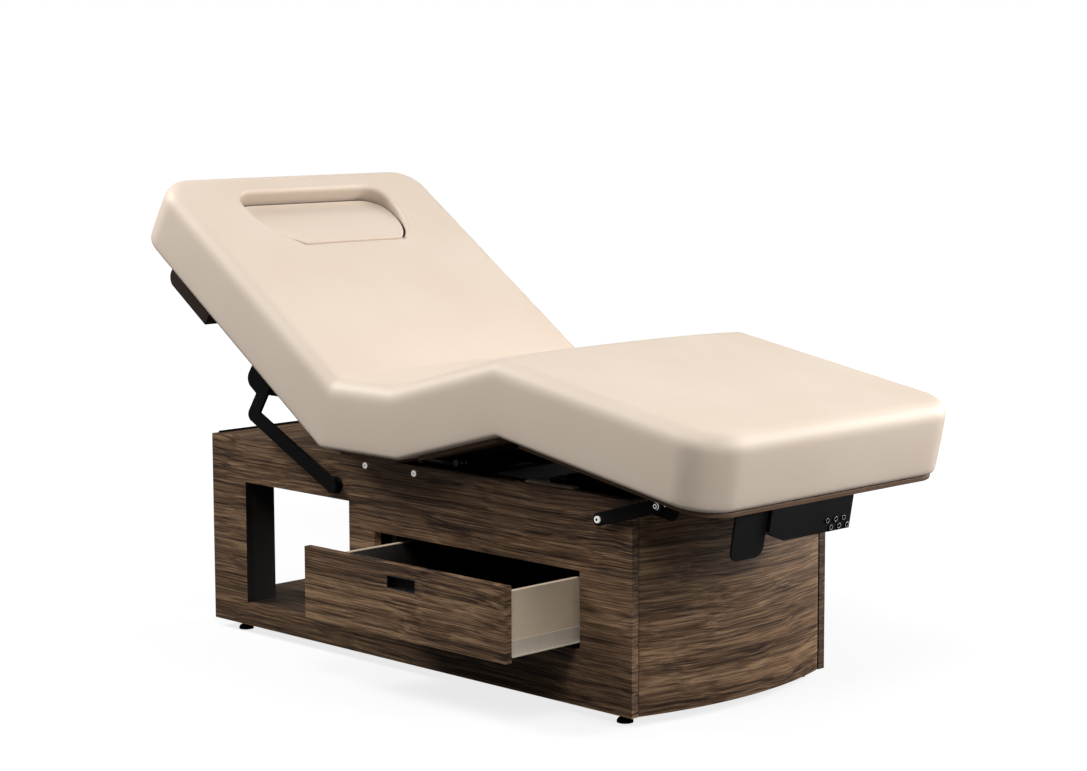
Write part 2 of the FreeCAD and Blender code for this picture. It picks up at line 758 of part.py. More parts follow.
def hollow_tube(name, x, y, z, length, width, height):
    """A square tube that lies along its longest side, open at both ends."""
    outer = block(f"{name}_outer", x, y, z, length, width, height)
    along_x = width == "tube"
    inner = block(f"{name}_inner",
                  f"{x} - overrun" if along_x else f"{x} + tube_wall",
                  f"{y} + tube_wall" if along_x else f"{y} - overrun", f"{z} + tube_wall",
                  f"{length} + 2 * overrun" if along_x else f"{length} - 2 * tube_wall",
                  f"{width} - 2 * tube_wall" if along_x else f"{width} + 2 * overrun",
                  f"{height} - 2 * tube_wall")
    return cut(name, outer, inner)


frame_z = f"({top} - frame_drop - tube)"
frame_x = f"({head_end} + frame_head)"
rail_length = "(frame_tail - frame_head)"
near_rail = hollow_tube("near_rail", frame_x, f"-{wall_inside}", frame_z, rail_length, "tube", "tube")
far_rail = hollow_tube("far_rail", frame_x, f"{wall_inside} - tube", frame_z, rail_length, "tube",
                       "tube")
tail_bar = hollow_tube("tail_bar", f"{head_end} + frame_tail - tube", f"-{wall_inside} + tube",
                       frame_z, "tube", f"{inside_width} - 2 * tube", "tube")
bolt_holes = [rod(f"rail_bolt_hole_{k}", Vector(0, 1, 0), f"{head_end} + {place}",
                  f"-{wall_inside} - overrun", f"{top} - frame_bolt_drop",
                  "bolt_radius + pin_play", f"{inside_width} + 2 * overrun")
              for k, place in enumerate(("frame_bolt_head_x", "frame_bolt_tail_x"))]
keep(cut("top_frame", joined("frame_tubes", near_rail, far_rail, tail_bar), *bolt_holes), "top_frame")

pads = [block(f"{side}_rest_pad", f"{head_end} + pad_start", y, f"{top} - frame_drop",
              "pad_length", "pad_width", "pad_thickness")
        for side, y in (("near", f"-{wall_inside}"), ("far", f"{wall_inside} - pad_width"))]
keep(group("rest_pads", *pads), "rest_pads")

frame_bolts = []
for side, sign in (("near", -1), ("far", 1)):
    for place in ("frame_bolt_head_x", "frame_bolt_tail_x"):
        x = f"{head_end} + {place}"
        z = f"{top} - frame_bolt_drop"
        face_y = f"{sign} * cabinet_width / 2"
        shank = rod(f"{side}_{place}_shank", Vector(0, -sign, 0), x, face_y, z,
                    "bolt_radius", "side_thickness + tube_wall")
        head = rod(f"{side}_{place}_cap", Vector(0, sign, 0), x, face_y, z,
                   "bolt_head_radius", "bolt_head_height")
        frame_bolts.append(joined(f"{side}_{place}_bolt", shank, head))
keep(group("frame_bolts", *frame_bolts), "frame_bolts")

back_crossbar = hollow_tube("back_crossbar", f"{head_end} + back_crossbar",
                            f"-{wall_inside} + tube", frame_z, "tube",
                            f"{inside_width} - 2 * tube", "tube")
leg_crossbar = hollow_tube("leg_crossbar", f"{head_end} + leg_crossbar", f"-{wall_inside}",
                           f"{frame_z} - tube", "tube", inside_width, "tube")
keep(group("crossbars", back_crossbar, leg_crossbar), "actuator_crossbars")

# Cushions: the same section everywhere, cut by the profile of each part seen from the side


def cushion_section(start, end):
    """The mattress's section across its width, drawn out along X from start to end."""
    half = v.cushion_width / 2
    shoulder = half - v.cushion_turn
    low = v.cushion_foot_radius
    turn_middle = Vector(0, shoulder + v.cushion_turn * math.cos(math.pi / 4),
                         v.cushion_side_height + v.cushion_turn * math.sin(math.pi / 4))
    foot = half - v.cushion_foot_draw
    right = [Vector(0, foot - low, 0), Vector(0, foot - low * (1 - math.cos(math.pi / 4)),
             low * (1 - math.sin(math.pi / 4))), Vector(0, foot, low),
             Vector(0, half - v.cushion_waist_draw, v.cushion_side_height * v.cushion_waist_share),
             Vector(0, half, v.cushion_side_height), turn_middle,
             Vector(0, shoulder, v.cushion_thickness)]
    left = [Vector(0, -p.y, p.z) for p in right]
    crown = Vector(0, 0, v.cushion_thickness + v.cushion_crown)
    edges = [Part.LineSegment(left[0], right[0]), Part.Arc(right[0], right[1], right[2]),
             Part.Arc(right[2], right[3], right[4]), Part.Arc(right[4], right[5], right[6]),
             Part.Arc(right[6], crown, left[6]), Part.Arc(left[6], left[5], left[4]),
             Part.Arc(left[4], left[3], left[2]), Part.Arc(left[2], left[1], left[0])]
    shape = Part.Face(Part.Wire([edge.toShape() for edge in edges])).extrude(Vector(end - start, 0, 0))
    shape.translate(Vector(start, 0, 0))
    return shape


full_height = v.cushion_thickness + v.cushion_crown + v.overrun


def side_profile(corners):
    """The part's outline seen from the side, wider than any cushion."""
    return slab(corners, -v.cushion_width, v.cushion_width)


def leaning(start, angle):
    """Corner pair of a cut that starts at the underside and leans by an angle to the top."""
    return start, start + full_height * math.tan(math.radians(angle))


def end_plan(end, sign):
    """The outline from above, with the two corners at the bed's end rounded."""
    half = v.cushion_width / 2
    corners = [(end, -half, v.corner_radius), (end, half, v.corner_radius),
               (-sign * v.corner_radius, half, 0), (-sign * v.corner_radius, -half, 0)]
    wire = rounded_wire(corners, lambda p: Vector(p.x, p.y, 0))
    return Part.Face(wire).extrude(Vector(0, 0, full_height))


def cushion(low_start, high_start, low_end, high_end, end_sign=0):
    """A length of the mattress between two cuts; at a free end the upper edge is rounded."""
    start_turn = v.cushion_turn if end_sign < 0 else 0
    end_turn = v.cushion_turn if end_sign > 0 else 0
    height = v.cushion_thickness if end_sign else full_height
    corners = [(low_start, 0, v.cushion_foot_radius if end_sign < 0 else 0),
               (low_end, 0, v.cushion_foot_radius if end_sign > 0 else 0),
               (high_end, height, end_turn), (high_start, height, start_turn)]
    section = cushion_section(min(low_start, high_start) - v.overrun,
                              max(low_end, high_end) + v.overrun)
    shape = section.common(side_profile(corners))
    if end_sign:
        shape = shape.common(end_plan(low_end if end_sign > 0 else low_start, end_sign))
    return shape


back_cut = leaning(v.fold_start, (v.back_angle + v.back_rise) / 2)
seat_cut = leaning(v.fold_start, v.thigh_limit / 2)
knee_cut = (v.fold_start, v.fold_start)


def recess_plan(inset, low_line):
    """The head recess from above: an arch towards the fold line and a straight head side."""
    half = v.recess_half_width - inset
    reach = v.recess_reach - inset
    end = v.recess_end - inset
    side_end = end - v.recess_corner
    depth = v.recess_centre - low_line
    width_low = half * math.sqrt(1 - (depth / reach) ** 2)
    middle_depth = depth / 2
    width_middle = half * math.sqrt(1 - (middle_depth / reach) ** 2)
    corner = v.recess_corner
    bend = corner * math.sqrt(0.5)

    def at(u, y):
        return Vector(-u, y, 0)

    right = [at(low_line, width_low), at(v.recess_centre - middle_depth, width_middle),
             at(side_end, half), at(side_end + bend, half - corner + bend),
             at(end, half - corner)]
    left = [at(low_line, -width_low), at(v.recess_centre - middle_depth, -width_middle),
            at(side_end, -half), at(side_end + bend, -half + corner - bend),
            at(end, -half + corner)]
    edges = [Part.LineSegment(left[0], right[0]), Part.Arc(right[0], right[1], right[2]),
             Part.Arc(right[2], right[3], right[4]), Part.LineSegment(right[4], left[4]),
             Part.Arc(left[4], left[3], left[2]), Part.Arc(left[2], left[1], left[0])]
    return Part.Face(Part.Wire([edge.toShape() for edge in edges]))


insert_top = v.cushion_thickness + v.cushion_crown
back_shape = cushion(-v.back_length, -v.back_length, -back_cut[0], -back_cut[1], -1)
pocket_plan = recess_plan(0, v.recess_line).extrude(Vector(0, 0, full_height))
pocket_far = -v.recess_end - v.overrun
pocket_side = side_profile([(-v.recess_line, full_height, 0), (pocket_far, full_height, 0),
                            (pocket_far, v.recess_floor, 0), (-v.recess_line, v.recess_floor, 0)])
rod_at = Vector(-v.recess_line - v.insert_rod_setback, 0, insert_top - v.insert_rod_drop)


def insert_rod(play, spare):
    """The rod that the insert turns on, or the bore around it."""
    half = v.insert_rod_half + spare
    return disc(rod_at.x, rod_at.z, v.insert_rod_radius + play, -half, half)


back_shape = back_shape.cut([pocket_plan.common(pocket_side), insert_rod(v.pin_play, v.fold_gap)])
feature("back_cushion", back_shape, back_frame)
feature("headrest_rod", insert_rod(0, 0), back_frame)
seat_shape = cushion(back_cut[0], back_cut[1], v.seat_length - seat_cut[0],
                     v.seat_length - seat_cut[1])
feature("seat_cushion", seat_shape, seat_frame)
feature("thigh_cushion", cushion(seat_cut[0], seat_cut[1], v.thigh_length - knee_cut[0],
                                 v.thigh_length - knee_cut[1]), thigh_frame)
feature("leg_cushion", cushion(knee_cut[0], knee_cut[1], v.leg_length, v.leg_length, 1), leg_frame)


def placed(shape, frame):
    copy = shape.copy()
    copy.Placement = frame.multiply(copy.Placement)
    return copy


def fold(low, high, fold_angle, length, frame_before, frame_after, opens):
    """The soft fold at a crease: two wedges that meet on the plane halfway between sections."""
    lean = full_height * math.tan(math.radians(fold_angle) / 2) * (-1 if opens else 1)
    low_cut, high_cut = low - v.fold_gap, high - v.fold_gap
    before = cushion(length - low_cut, length - high_cut, length, length - lean)
    after = cushion(0, lean, low_cut, high_cut)
    return placed(before, frame_before).fuse(placed(after, frame_after)).removeSplitter()


feature("back_fold", fold(back_cut[0], back_cut[1], v.back_angle, 0, back_frame, seat_frame, False))
feature("thigh_fold", fold(seat_cut[0], seat_cut[1], v.thigh_angle, v.seat_length, seat_frame,
                           thigh_frame, False))
feature("knee_fold", fold(knee_cut[0], knee_cut[1], knee_fold, v.thigh_length, thigh_frame,
                          leg_frame, True))

# Head insert, hung on a rod just past the fold line


def insert_outline(draft, slope, z):
    """The insert's outline at a height, drawn in from the recess's walls and the fold line."""
    ring = recess_plan(v.insert_gap + draft, v.recess_line + v.insert_gap + slope).OuterWire
    ring.translate(Vector(0, 0, z))
    return ring


insert_base = insert_top - v.insert_thickness
insert_shape = Part.makeLoft([insert_outline(0, 0, insert_top),
                              insert_outline(v.insert_draft, v.insert_slope, insert_base)], True, True)
insert_board = Part.Face(insert_outline(v.insert_draft + v.insert_gap, v.insert_slope + v.insert_gap,
                                      insert_base - v.insert_board))
insert_board = insert_board.extrude(Vector(0, 0, v.insert_board))
tilt = Placement(Vector(0, 0, 0), Rotation(across_axis, -v.insert_tilt), rod_at)
insert_frame = back_frame.multiply(tilt)
feature("headrest_insert", insert_shape.cut(insert_rod(v.pin_play, 0)), insert_frame)
feature("headrest_board", insert_board, insert_frame)

box_length = v.head_box_end - v.head_box_start
head_box_half = v.head_box_width / 2
head_box_top = -v.ply_thickness
head_box_low = head_box_top - v.head_box_depth
head_box_outer = slab([(-v.head_box_start, head_box_top, 0), (-v.head_box_end, head_box_top, 0),
                       (-v.head_box_end, head_box_low, v.head_box_radius),
                       (-v.head_box_start, head_box_low, 0)], -head_box_half, head_box_half)
wall = v.head_box_wall
head_box_inner = slab([(-v.head_box_start - wall, head_box_top + v.overrun, 0),
                       (-v.head_box_end + wall, head_box_top + v.overrun, 0),
                       (-v.head_box_end + wall, head_box_low + wall, v.head_box_radius - wall),
                       (-v.head_box_start - wall, head_box_low + wall, 0)],
                      -head_box_half + wall, head_box_half - wall)
feature("head_box", head_box_outer.cut(head_box_inner), back_frame)

# Plywood under each cushion


def ply_board(label, start, end, frame, rounded_end=None):
    """A board between two places on the section's X; one end may have rounded corners."""
    body, sketch = body_on(label, "XY_Plane")
    rectangle(sketch, start, "-cushion_width / 2 + ply_inset", end, "cushion_width / 2 - ply_inset")
    base = pad(body, sketch, "ply_thickness", True)
    if rounded_end:
        round_upright_edges(body, base, Vector(0, 0, 1), "ply_corner",
                            lambda at: at.x * rounded_end > v.seat_length)
    body.Placement = frame
    return keep(body, label)


ply_board("back_board", "-back_length + ply_inset", "-ply_stop", back_frame, -1)
ply_board("seat_board", "ply_lead", "seat_length - ply_stop", seat_frame)
ply_board("thigh_board", "ply_lead", "thigh_length - ply_stop", thigh_frame)
ply_board("leg_board", "ply_lead", "leg_length - ply_end_inset", leg_frame, 1)

# Steel frames under the boards, with the hinge ears at their ends


def rails(y_low, start, end, depth, ears):
    """A pair of rails between two places, with an ear around each hinge axis."""
    low = -v.ply_thickness - depth
    bar = slab([(start, low, 0), (end, low, 0), (end, -v.ply_thickness, 0),
                (start, -v.ply_thickness, 0)], y_low, y_low + v.rail_width)
    for x in ears:
        bar = bar.fuse(disc(x, -v.hinge_drop, v.ear_radius, y_low, y_low + v.rail_width))
    for x in ears:
        bar = bar.cut(disc(x, -v.hinge_drop, v.pin_radius + v.pin_play, y_low - v.overrun,
                           y_low + v.rail_width + v.overrun))
    return bar.fuse(mirrored(bar))


def bar_across(x, half_reach, depth):
    return Part.makeBox(v.bar_width, 2 * half_reach, depth,
                        Vector(x, -half_reach, -v.ply_thickness - depth))


outer_y = v.rail_y + v.rail_width + v.rail_gap
wide_reach = half_width + v.plate_gap
back_steel = rails(outer_y, -v.back_rail_end, back_hinge_x, v.rail_depth, [back_hinge_x])
for u in (v.back_bar_near, v.back_bar_far):
    back_steel = back_steel.fuse(bar_across(-u - v.bar_width, outer_y + v.rail_width, v.bar_depth))
feature("back_frame", back_steel.removeSplitter(), back_frame)

seat_hinge_far = v.seat_length + hinge_offset(v.thigh_angle)
seat_steel = rails(v.rail_y, -back_hinge_x, seat_hinge_far, v.seat_rail_depth,
                   [-back_hinge_x, seat_hinge_far])
seat_bar_depth = v.cushion_lift + v.frame_drop - v.ply_thickness
for x in (v.seat_bar_head, v.seat_bar_foot):
    seat_steel = seat_steel.fuse(bar_across(x, inner_face, seat_bar_depth))
feature("seat_frame", seat_steel.removeSplitter(), seat_frame)

thigh_knee_x = v.thigh_length - hinge_offset(knee_fold)
thigh_steel = rails(outer_y, thigh_hinge_x, thigh_knee_x, v.rail_depth, [thigh_hinge_x, thigh_knee_x])
for u in (v.thigh_bar_near, v.thigh_bar_far):
    thigh_steel = thigh_steel.fuse(bar_across(u, outer_y + v.rail_width, v.bar_depth))

leg_steel = rails(v.rail_y, knee_hinge_x, v.leg_rail_end, v.rail_depth, [knee_hinge_x])
for u in (v.leg_bar_near, v.leg_bar_far):
    leg_steel = leg_steel.fuse(bar_across(u, wide_reach, v.bar_depth))
feature("leg_frame", leg_steel.removeSplitter(), leg_frame)


def hinge_pins(label, *axis_points):
    """A headed pin through the two ears at each side, for each axis."""
    y_high = v.rail_y + 2 * v.rail_width + v.rail_gap
    pins = []
    for at in axis_points:
        pin = disc(at.x, at.z, v.pin_radius, v.rail_y, y_high + v.pin_head)
        pin = pin.fuse(disc(at.x, at.z, v.pin_head_radius, y_high, y_high + v.pin_head))
        pins += [pin, mirrored(pin)]
    return feature(label, Part.makeCompound(pins))


hinge_pins("seat_hinge_pins", back_hinge, thigh_hinge)
hinge_pins("knee_hinge_pins", knee_hinge)

# Backrest lift: a shaft through the cabinet, an arm outside each side and a slotted plate

plate_in = half_width + v.plate_gap
plate_out = plate_in + v.plate_thickness
arm_in = plate_out + v.plate_gap
arm_out = arm_in + v.arm_thickness
shaft = Vector(v.shaft_x - half_length, 0, cabinet_top - v.shaft_drop)
elbow = Vector(v.elbow_x - half_length, 0, cabinet_top + v.elbow_rise)
arm_tip = Vector(v.arm_tip_x - half_length, 0, cabinet_top + v.arm_tip_rise)

arm_shape = strap([(shaft.x, shaft.z), (elbow.x, elbow.z), (arm_tip.x, arm_tip.z)],
                  v.arm_half_width, -arm_out, -arm_in)
arm_shape = arm_shape.fuse(disc(shaft.x, shaft.z, v.arm_hub_radius, -arm_out, -arm_in))
arm_shape = arm_shape.cut(disc(shaft.x, shaft.z, v.shaft_radius + v.pin_play,
                               -arm_out - v.overrun, -arm_in + v.overrun))
pin_end = half_width + v.plate_gap / 2
arm_shape = arm_shape.fuse(disc(arm_tip.x, arm_tip.z, v.pin_radius, -arm_out, -pin_end))
feature("lift_arms", both_sides(arm_shape.removeSplitter()))


def turned(point, about, degrees):
    """The point turned about an axis along Y; positive raises a point at +X."""
    angle = math.radians(degrees)
    dx, dz = point.x - about.x, point.z - about.z
    return Vector(about.x + dx * math.cos(angle) - dz * math.sin(angle), 0,
                  about.z + dx * math.sin(angle) + dz * math.cos(angle))


def arc_slot(centre, start, angle_low, angle_high, radius, y_low, y_high):
    """A slot along an arc about a centre, from start turned by two angles in degrees."""
    steps = [turned(start, centre, angle_low + (angle_high - angle_low) * share / 2)
             for share in range(3)]
    reach = (start - centre).Length
    outer, inner = [], []
    for point in steps:
        way = (point - centre) / reach
        outer.append(centre + way * (reach + radius))
        inner.append(centre + way * (reach - radius))
    ends = []
    for point, near, sense in ((steps[2], steps[1], 1), (steps[0], steps[1], -1)):
        way = (point - centre) / reach
        tangent = Vector(-way.z, 0, way.x) * sense
        if tangent * (point - near) < 0:
            tangent = -tangent
        ends.append(point + tangent * radius)
    edges = [Part.Arc(outer[0], outer[1], outer[2]), Part.Arc(outer[2], ends[0], inner[2]),
             Part.Arc(inner[2], inner[1], inner[0]), Part.Arc(inner[0], ends[1], outer[0])]
    face = Part.Face(Part.Wire([edge.toShape() for edge in edges]))
    shape = face.extrude(Vector(0, y_high - y_low, 0))
    shape.translate(Vector(0, y_low, 0))
    return shape


# The arm turns as far as the back does, so its tip draws an arc in the back's own frame
slot_centre = Vector(back_hinge.x + arm_tip.x - shaft.x, 0, back_hinge.z + arm_tip.z - shaft.z)
slot_radius = v.pin_radius + v.slot_play
cam_slot = arc_slot(slot_centre, arm_tip, -v.back_angle, v.back_rise, slot_radius,
                    -plate_out - v.overrun, -plate_in + v.overrun)
cam_plate = slab([(-v.cam_start, -v.ply_thickness, 0), (-v.cam_end, -v.ply_thickness, 0),
                  (-v.cam_end, -v.cam_heel, v.cam_radius), (-v.cam_toe_at, -v.cam_toe, v.cam_radius),
                  (-v.cam_hip_at, -v.cam_hip, v.cam_radius), (-v.cam_start, -v.cam_shoulder, 0)],
                 -plate_out, -plate_in)
cam_plate = placed(cam_plate, back_frame).cut(cam_slot)
feature("cam_plates", both_sides(cam_plate))

bush = disc(shaft.x, shaft.z, v.bush_radius, -half_width, -inner_face)
flange = disc(shaft.x, shaft.z, v.bush_flange_radius, -half_width - v.bush_flange, -half_width)
bore = disc(shaft.x, shaft.z, v.shaft_radius + v.pin_play, -half_width - v.bush_flange - v.overrun,
            -inner_face + v.overrun)
feature("shaft_bushes", both_sides(bush.fuse(flange).cut(bore)))

crank_low = v.back_actuator_y - v.crank_thickness / 2
crank_high = v.back_actuator_y + v.crank_thickness / 2
crank = strap([(shaft.x, shaft.z), (shaft.x, shaft.z + v.crank_length)], v.crank_half_width,
              crank_low, crank_high)
crank = crank.fuse(disc(shaft.x, shaft.z, v.crank_hub_radius, crank_low, crank_high))


def reach_at(reach, degrees):
    """Distance from the pivot to a pin on a straight line, when the crank leans this much."""
    return reach / math.cos(math.radians(degrees))


crank_reaches = [v.crank_reach, reach_at(v.crank_reach, v.back_angle)]
crank_slot = strap([(shaft.x, shaft.z + reach) for reach in crank_reaches],
                   slot_radius + v.slot_play / 2, crank_low - v.overrun, crank_high + v.overrun)
shaft_bar = disc(shaft.x, shaft.z, v.shaft_radius, -arm_out, arm_out)
feature("torque_shaft", shaft_bar.fuse(crank.cut(crank_slot)).removeSplitter())

# Linear actuators: a tube with its gearbox on a crossbar, and a rod with a fork


def actuator(name, pin, y, start, crossbar_x):
    """Tube and gearbox in one casting on a crossbar, and the rod whose fork holds the pin."""
    pin_x, pin_z = pin.x, pin.z
    mouth = pin_x + start
    tube_end = crossbar_x - v.gearbox_length
    along = Vector(1, 0, 0)
    case = Part.makeCylinder(v.actuator_radius, tube_end - mouth, Vector(mouth, y, pin_z), along)
    gearbox = Part.makeBox(v.gearbox_length, v.gearbox_width, v.gearbox_height,
                           Vector(tube_end, y - v.gearbox_width / 2, pin_z - v.gearbox_height / 2))
    bore = Part.makeCylinder(v.rod_radius + v.fork_play, v.rod_insertion + v.rod_spare,
                             Vector(mouth, y, pin_z), along)
    feature(f"{name}_actuator", case.fuse(gearbox).cut(bore).removeSplitter())
    root = pin_x + v.fork_reach
    fork = Part.makeBox(v.fork_nose + v.fork_reach + v.fork_root, v.fork_width, v.fork_height,
                        Vector(pin_x - v.fork_nose, y - v.fork_width / 2,
                               pin_z - v.fork_height / 2))
    gap_half = v.crank_thickness / 2 + v.fork_play
    gap = Part.makeBox(v.fork_nose + v.fork_reach + v.overrun, 2 * gap_half,
                       v.fork_height + 2 * v.overrun,
                       Vector(pin_x - v.fork_nose - v.overrun, y - gap_half,
                              pin_z - v.fork_height / 2 - v.overrun))
    pin = disc(pin_x, pin_z, v.pin_radius, y - v.fork_width / 2, y + v.fork_width / 2)
    bar_start = root + v.fork_root
    bar = Part.makeCylinder(v.rod_radius, mouth + v.rod_insertion - bar_start,
                            Vector(bar_start, y, pin_z), along)
    feature(f"{name}_actuator_rod", fork.cut(gap).fuse([pin, bar]).removeSplitter())


actuator("back", shaft + Vector(0, 0, v.crank_reach), v.back_actuator_y, v.back_actuator_start,
         v.back_crossbar - half_length)

lever_low = v.leg_actuator_y - v.crank_thickness / 2
lever_high = v.leg_actuator_y + v.crank_thickness / 2
lever = slab([(thigh_hinge.x - v.crank_half_width, thigh_hinge.z, 0),
              (thigh_hinge.x - v.crank_half_width, thigh_hinge.z - v.lever_length, 0),
              (thigh_hinge.x + v.crank_half_width, thigh_hinge.z - v.lever_length, 0),
              (thigh_hinge.x + v.crank_half_width, thigh_hinge.z - v.lever_heel, 0),
              (thigh_hinge.x + v.thigh_bar_near + v.bar_width, thigh_hinge.z, 0)],
             lever_low, lever_high)
lever_reaches = [v.lever_reach, reach_at(v.lever_reach, v.thigh_angle)]
lever_slot = strap([(thigh_hinge.x, thigh_hinge.z - reach) for reach in lever_reaches],
                   slot_radius, lever_low - v.overrun, lever_high + v.overrun)
lever = lever.cut(lever_slot)
lever.Placement = thigh_frame.inverse().multiply(lever.Placement)
web = Part.makeBox(v.thigh_bar_near + v.bar_width, v.crank_thickness, v.bar_depth,
                   Vector(0, lever_low, -v.ply_thickness - v.bar_depth))
feature("thigh_frame", thigh_steel.fuse([lever, web]).removeSplitter(), thigh_frame)
actuator("leg", thigh_hinge - Vector(0, 0, v.lever_reach), v.leg_actuator_y, v.leg_actuator_start,
         v.leg_crossbar - half_length)

# Leg link: an arm on the cabinet's side and a slotted bracket under the leg rest

link_pivot = Vector(v.link_pivot_x - half_length, 0, cabinet_top - v.link_pivot_drop)
link_tip = Vector(v.link_tip_x - half_length, 0, cabinet_top + v.link_tip_rise)
link_shape = strap([(link_pivot.x, link_pivot.z), (link_tip.x, link_tip.z)], v.link_half_width,
                   -arm_out, -arm_in)
link_shape = link_shape.cut(disc(link_pivot.x, link_pivot.z, v.link_bolt_radius + v.pin_play,
                                 -arm_out - v.overrun, -arm_in + v.overrun))


def bolt_cap(place):
    """The round head of a bolt outside the link."""
    return disc(place.x, place.z, v.link_bolt_head_radius, -arm_out - v.bolt_head_height, -arm_out)


tip_stud = disc(link_tip.x, link_tip.z, v.link_bolt_radius, -arm_out, -pin_end)
link_shape = link_shape.fuse([tip_stud, bolt_cap(link_tip)]).removeSplitter()
feature("near_link", link_shape)
feature("far_link", mirrored(link_shape))

nut_end = inner_face - v.link_nut_height
pivot_bolt = disc(link_pivot.x, link_pivot.z, v.link_bolt_radius, -arm_out, -nut_end)
pivot_bolt = pivot_bolt.fuse([
    bolt_cap(link_pivot), disc(link_pivot.x, link_pivot.z, v.link_half_width, -arm_in, -half_width),
    disc(link_pivot.x, link_pivot.z, v.link_nut_radius, -inner_face, -nut_end)])
feature("link_pivot_bolts", both_sides(pivot_bolt.removeSplitter()))


def tip_in_leg_frame(rise):
    """Where the link's tip lies in the leg rest's frame once the thigh has risen by an angle."""
    tip = turned(link_tip, link_pivot, v.link_ratio * rise)
    knee = turned(knee_hinge, thigh_hinge, rise)
    leg_turn = -v.leg_angle * rise / v.thigh_angle
    return turned(tip, knee, -leg_turn) - knee + knee_hinge


travel = [tip_in_leg_frame(rise) for rise in (-v.thigh_angle, 0, v.thigh_limit - v.thigh_angle)]
bracket = slab([(v.bracket_start, -v.ply_thickness, 0),
                (v.bracket_start, -v.bracket_depth, v.bracket_radius),
                (v.bracket_end, -v.bracket_depth, v.bracket_radius),
                (v.bracket_end, -v.ply_thickness, 0)], -plate_out, -plate_in)
bracket = placed(bracket, leg_frame)
bracket = bracket.cut(strap([(p.x, p.z) for p in travel], v.link_bolt_radius + v.slot_play,
                            -plate_out - v.overrun, -plate_in + v.overrun))
feature("leg_brackets", both_sides(bracket))

# Control box under the foot end, in the leg rest's frame

box_face = v.leg_length - v.ply_end_inset
box_top = -v.ply_thickness
box_start = box_face - v.box_depth


def box_solid(inset, top_z, start, end):
    """The box's outline from the foot end, a corner cut off low on its near side, drawn out."""
    low = box_top - v.box_height + inset
    near, far = -v.box_near + inset, v.box_far - inset
    ring = [(near, top_z, 0), (near, box_top - v.box_height + v.box_chamfer_z, 0),
            (-v.box_near + v.box_chamfer_y, low, 0), (far, low, 0), (far, top_z, 0)]
    shape = Part.Face(rounded_wire(ring, across_plane)).extrude(Vector(end - start, 0, 0))
    shape.translate(Vector(start, 0, 0))
    return shape


def along_x(y, z, radius, start, end):
    return Part.makeCylinder(radius, end - start, Vector(start, y, z), Vector(1, 0, 0))


box_shape = box_solid(0, box_top, box_start, box_face)
box_shape = box_shape.cut(box_solid(v.box_wall, box_top + v.overrun, box_start + v.box_wall,
                                    box_face - v.box_wall))
sockets = []
for drop, first in ((v.socket_row_upper, v.socket_first),
                    (v.socket_row_lower, v.socket_first - v.socket_stagger)):
    for k in range(3):
        y, z = k * v.socket_pitch - first, box_top - drop
        barrel = v.socket_radius - v.socket_step
        box_shape = box_shape.cut(along_x(y, z, barrel + v.pin_play,
                                          box_face - v.box_wall - v.overrun, box_face + v.overrun))
        socket = along_x(y, z, barrel, box_face - v.socket_length, box_face)
        socket = socket.fuse(along_x(y, z, v.socket_radius, box_face, box_face + v.socket_rim))
        sockets.append(socket.cut(along_x(y, z, v.socket_bore,
                                          box_face - v.socket_length + v.socket_bottom,
                                          box_face + v.socket_rim + v.overrun)))
feature("control_box", box_shape, leg_frame)
feature("control_sockets", Part.makeCompound(sockets), leg_frame)

tab_body, tab_sketch = body_on("hanger_tab", "YZ_Plane")
rectangle(tab_sketch, "-tab_near", "-ply_thickness - tab_depth", "-tab_far", "-ply_thickness")
tab_pad = pad(tab_body, tab_sketch, "tab_thickness")
round_upright_edges(tab_body, tab_pad, Vector(1, 0, 0), "tab_radius",
                    lambda at: at.z < -v.ply_thickness - v.tab_depth / 2)
tab_place = Placement(Vector(box_face - v.tab_setback - v.tab_thickness, 0, 0), Rotation())
tab_body.Placement = leg_frame.multiply(tab_place)
keep(tab_body, "hanger_tab")

# Power supply on the board over the drawer, and its inlet in the far side

keep(block("power_supply", f"{head_end} + supply_x", "supply_y", f"{ceiling_z} + board_thickness",
           "supply_length", "supply_width", "supply_height"), "power_supply")
inlet_x = f"({head_end} + inlet_x)"
inlet_z = "(foot_height + inlet_height)"
inlet_lip = block("inlet_lip_plate", f"{inlet_x} - inlet_flange", "cabinet_width / 2",
                  f"{inlet_z} - inlet_flange", "inlet_width + 2 * inlet_flange", "inlet_lip",
                  "inlet_rise + 2 * inlet_flange")
inlet_core = block("inlet_core", f"{inlet_x} + fold_gap", "cabinet_width / 2 - inlet_depth",
                   f"{inlet_z} + fold_gap", "inlet_width - 2 * fold_gap", "inlet_depth",
                   "inlet_rise - 2 * fold_gap")
inlet_hollow = block("inlet_hollow", f"{inlet_x} + inlet_flange", "cabinet_width / 2 - inlet_depth / 2",
                     f"{inlet_z} + inlet_flange", "inlet_width - 2 * inlet_flange", "inlet_depth",
                     "inlet_rise - 2 * inlet_flange")
keep(cut("power_inlet", joined("inlet_shell", inlet_lip, inlet_core), inlet_hollow), "power_inlet")

# Check everything and write one file for each sub-part

doc.recompute()
os.makedirs("parts", exist_ok=True)
for thing in doc.Objects:
    if "Invalid" in thing.State or "Error" in thing.State:
        raise RuntimeError(f"{thing.Name} failed: {thing.State}")
for thing in parts:
    shape = thing.Shape
    if shape.isNull() or not shape.isValid() or not shape.Solids:
        raise RuntimeError(f"{thing.Label} has no valid solid")
    shape.exportStep(f"parts/{thing.Label}.step")
print(len(parts), "sub-parts")
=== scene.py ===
import math

import bmesh
import bpy
import numpy as np
from mathutils import Matrix, Vector, kdtree


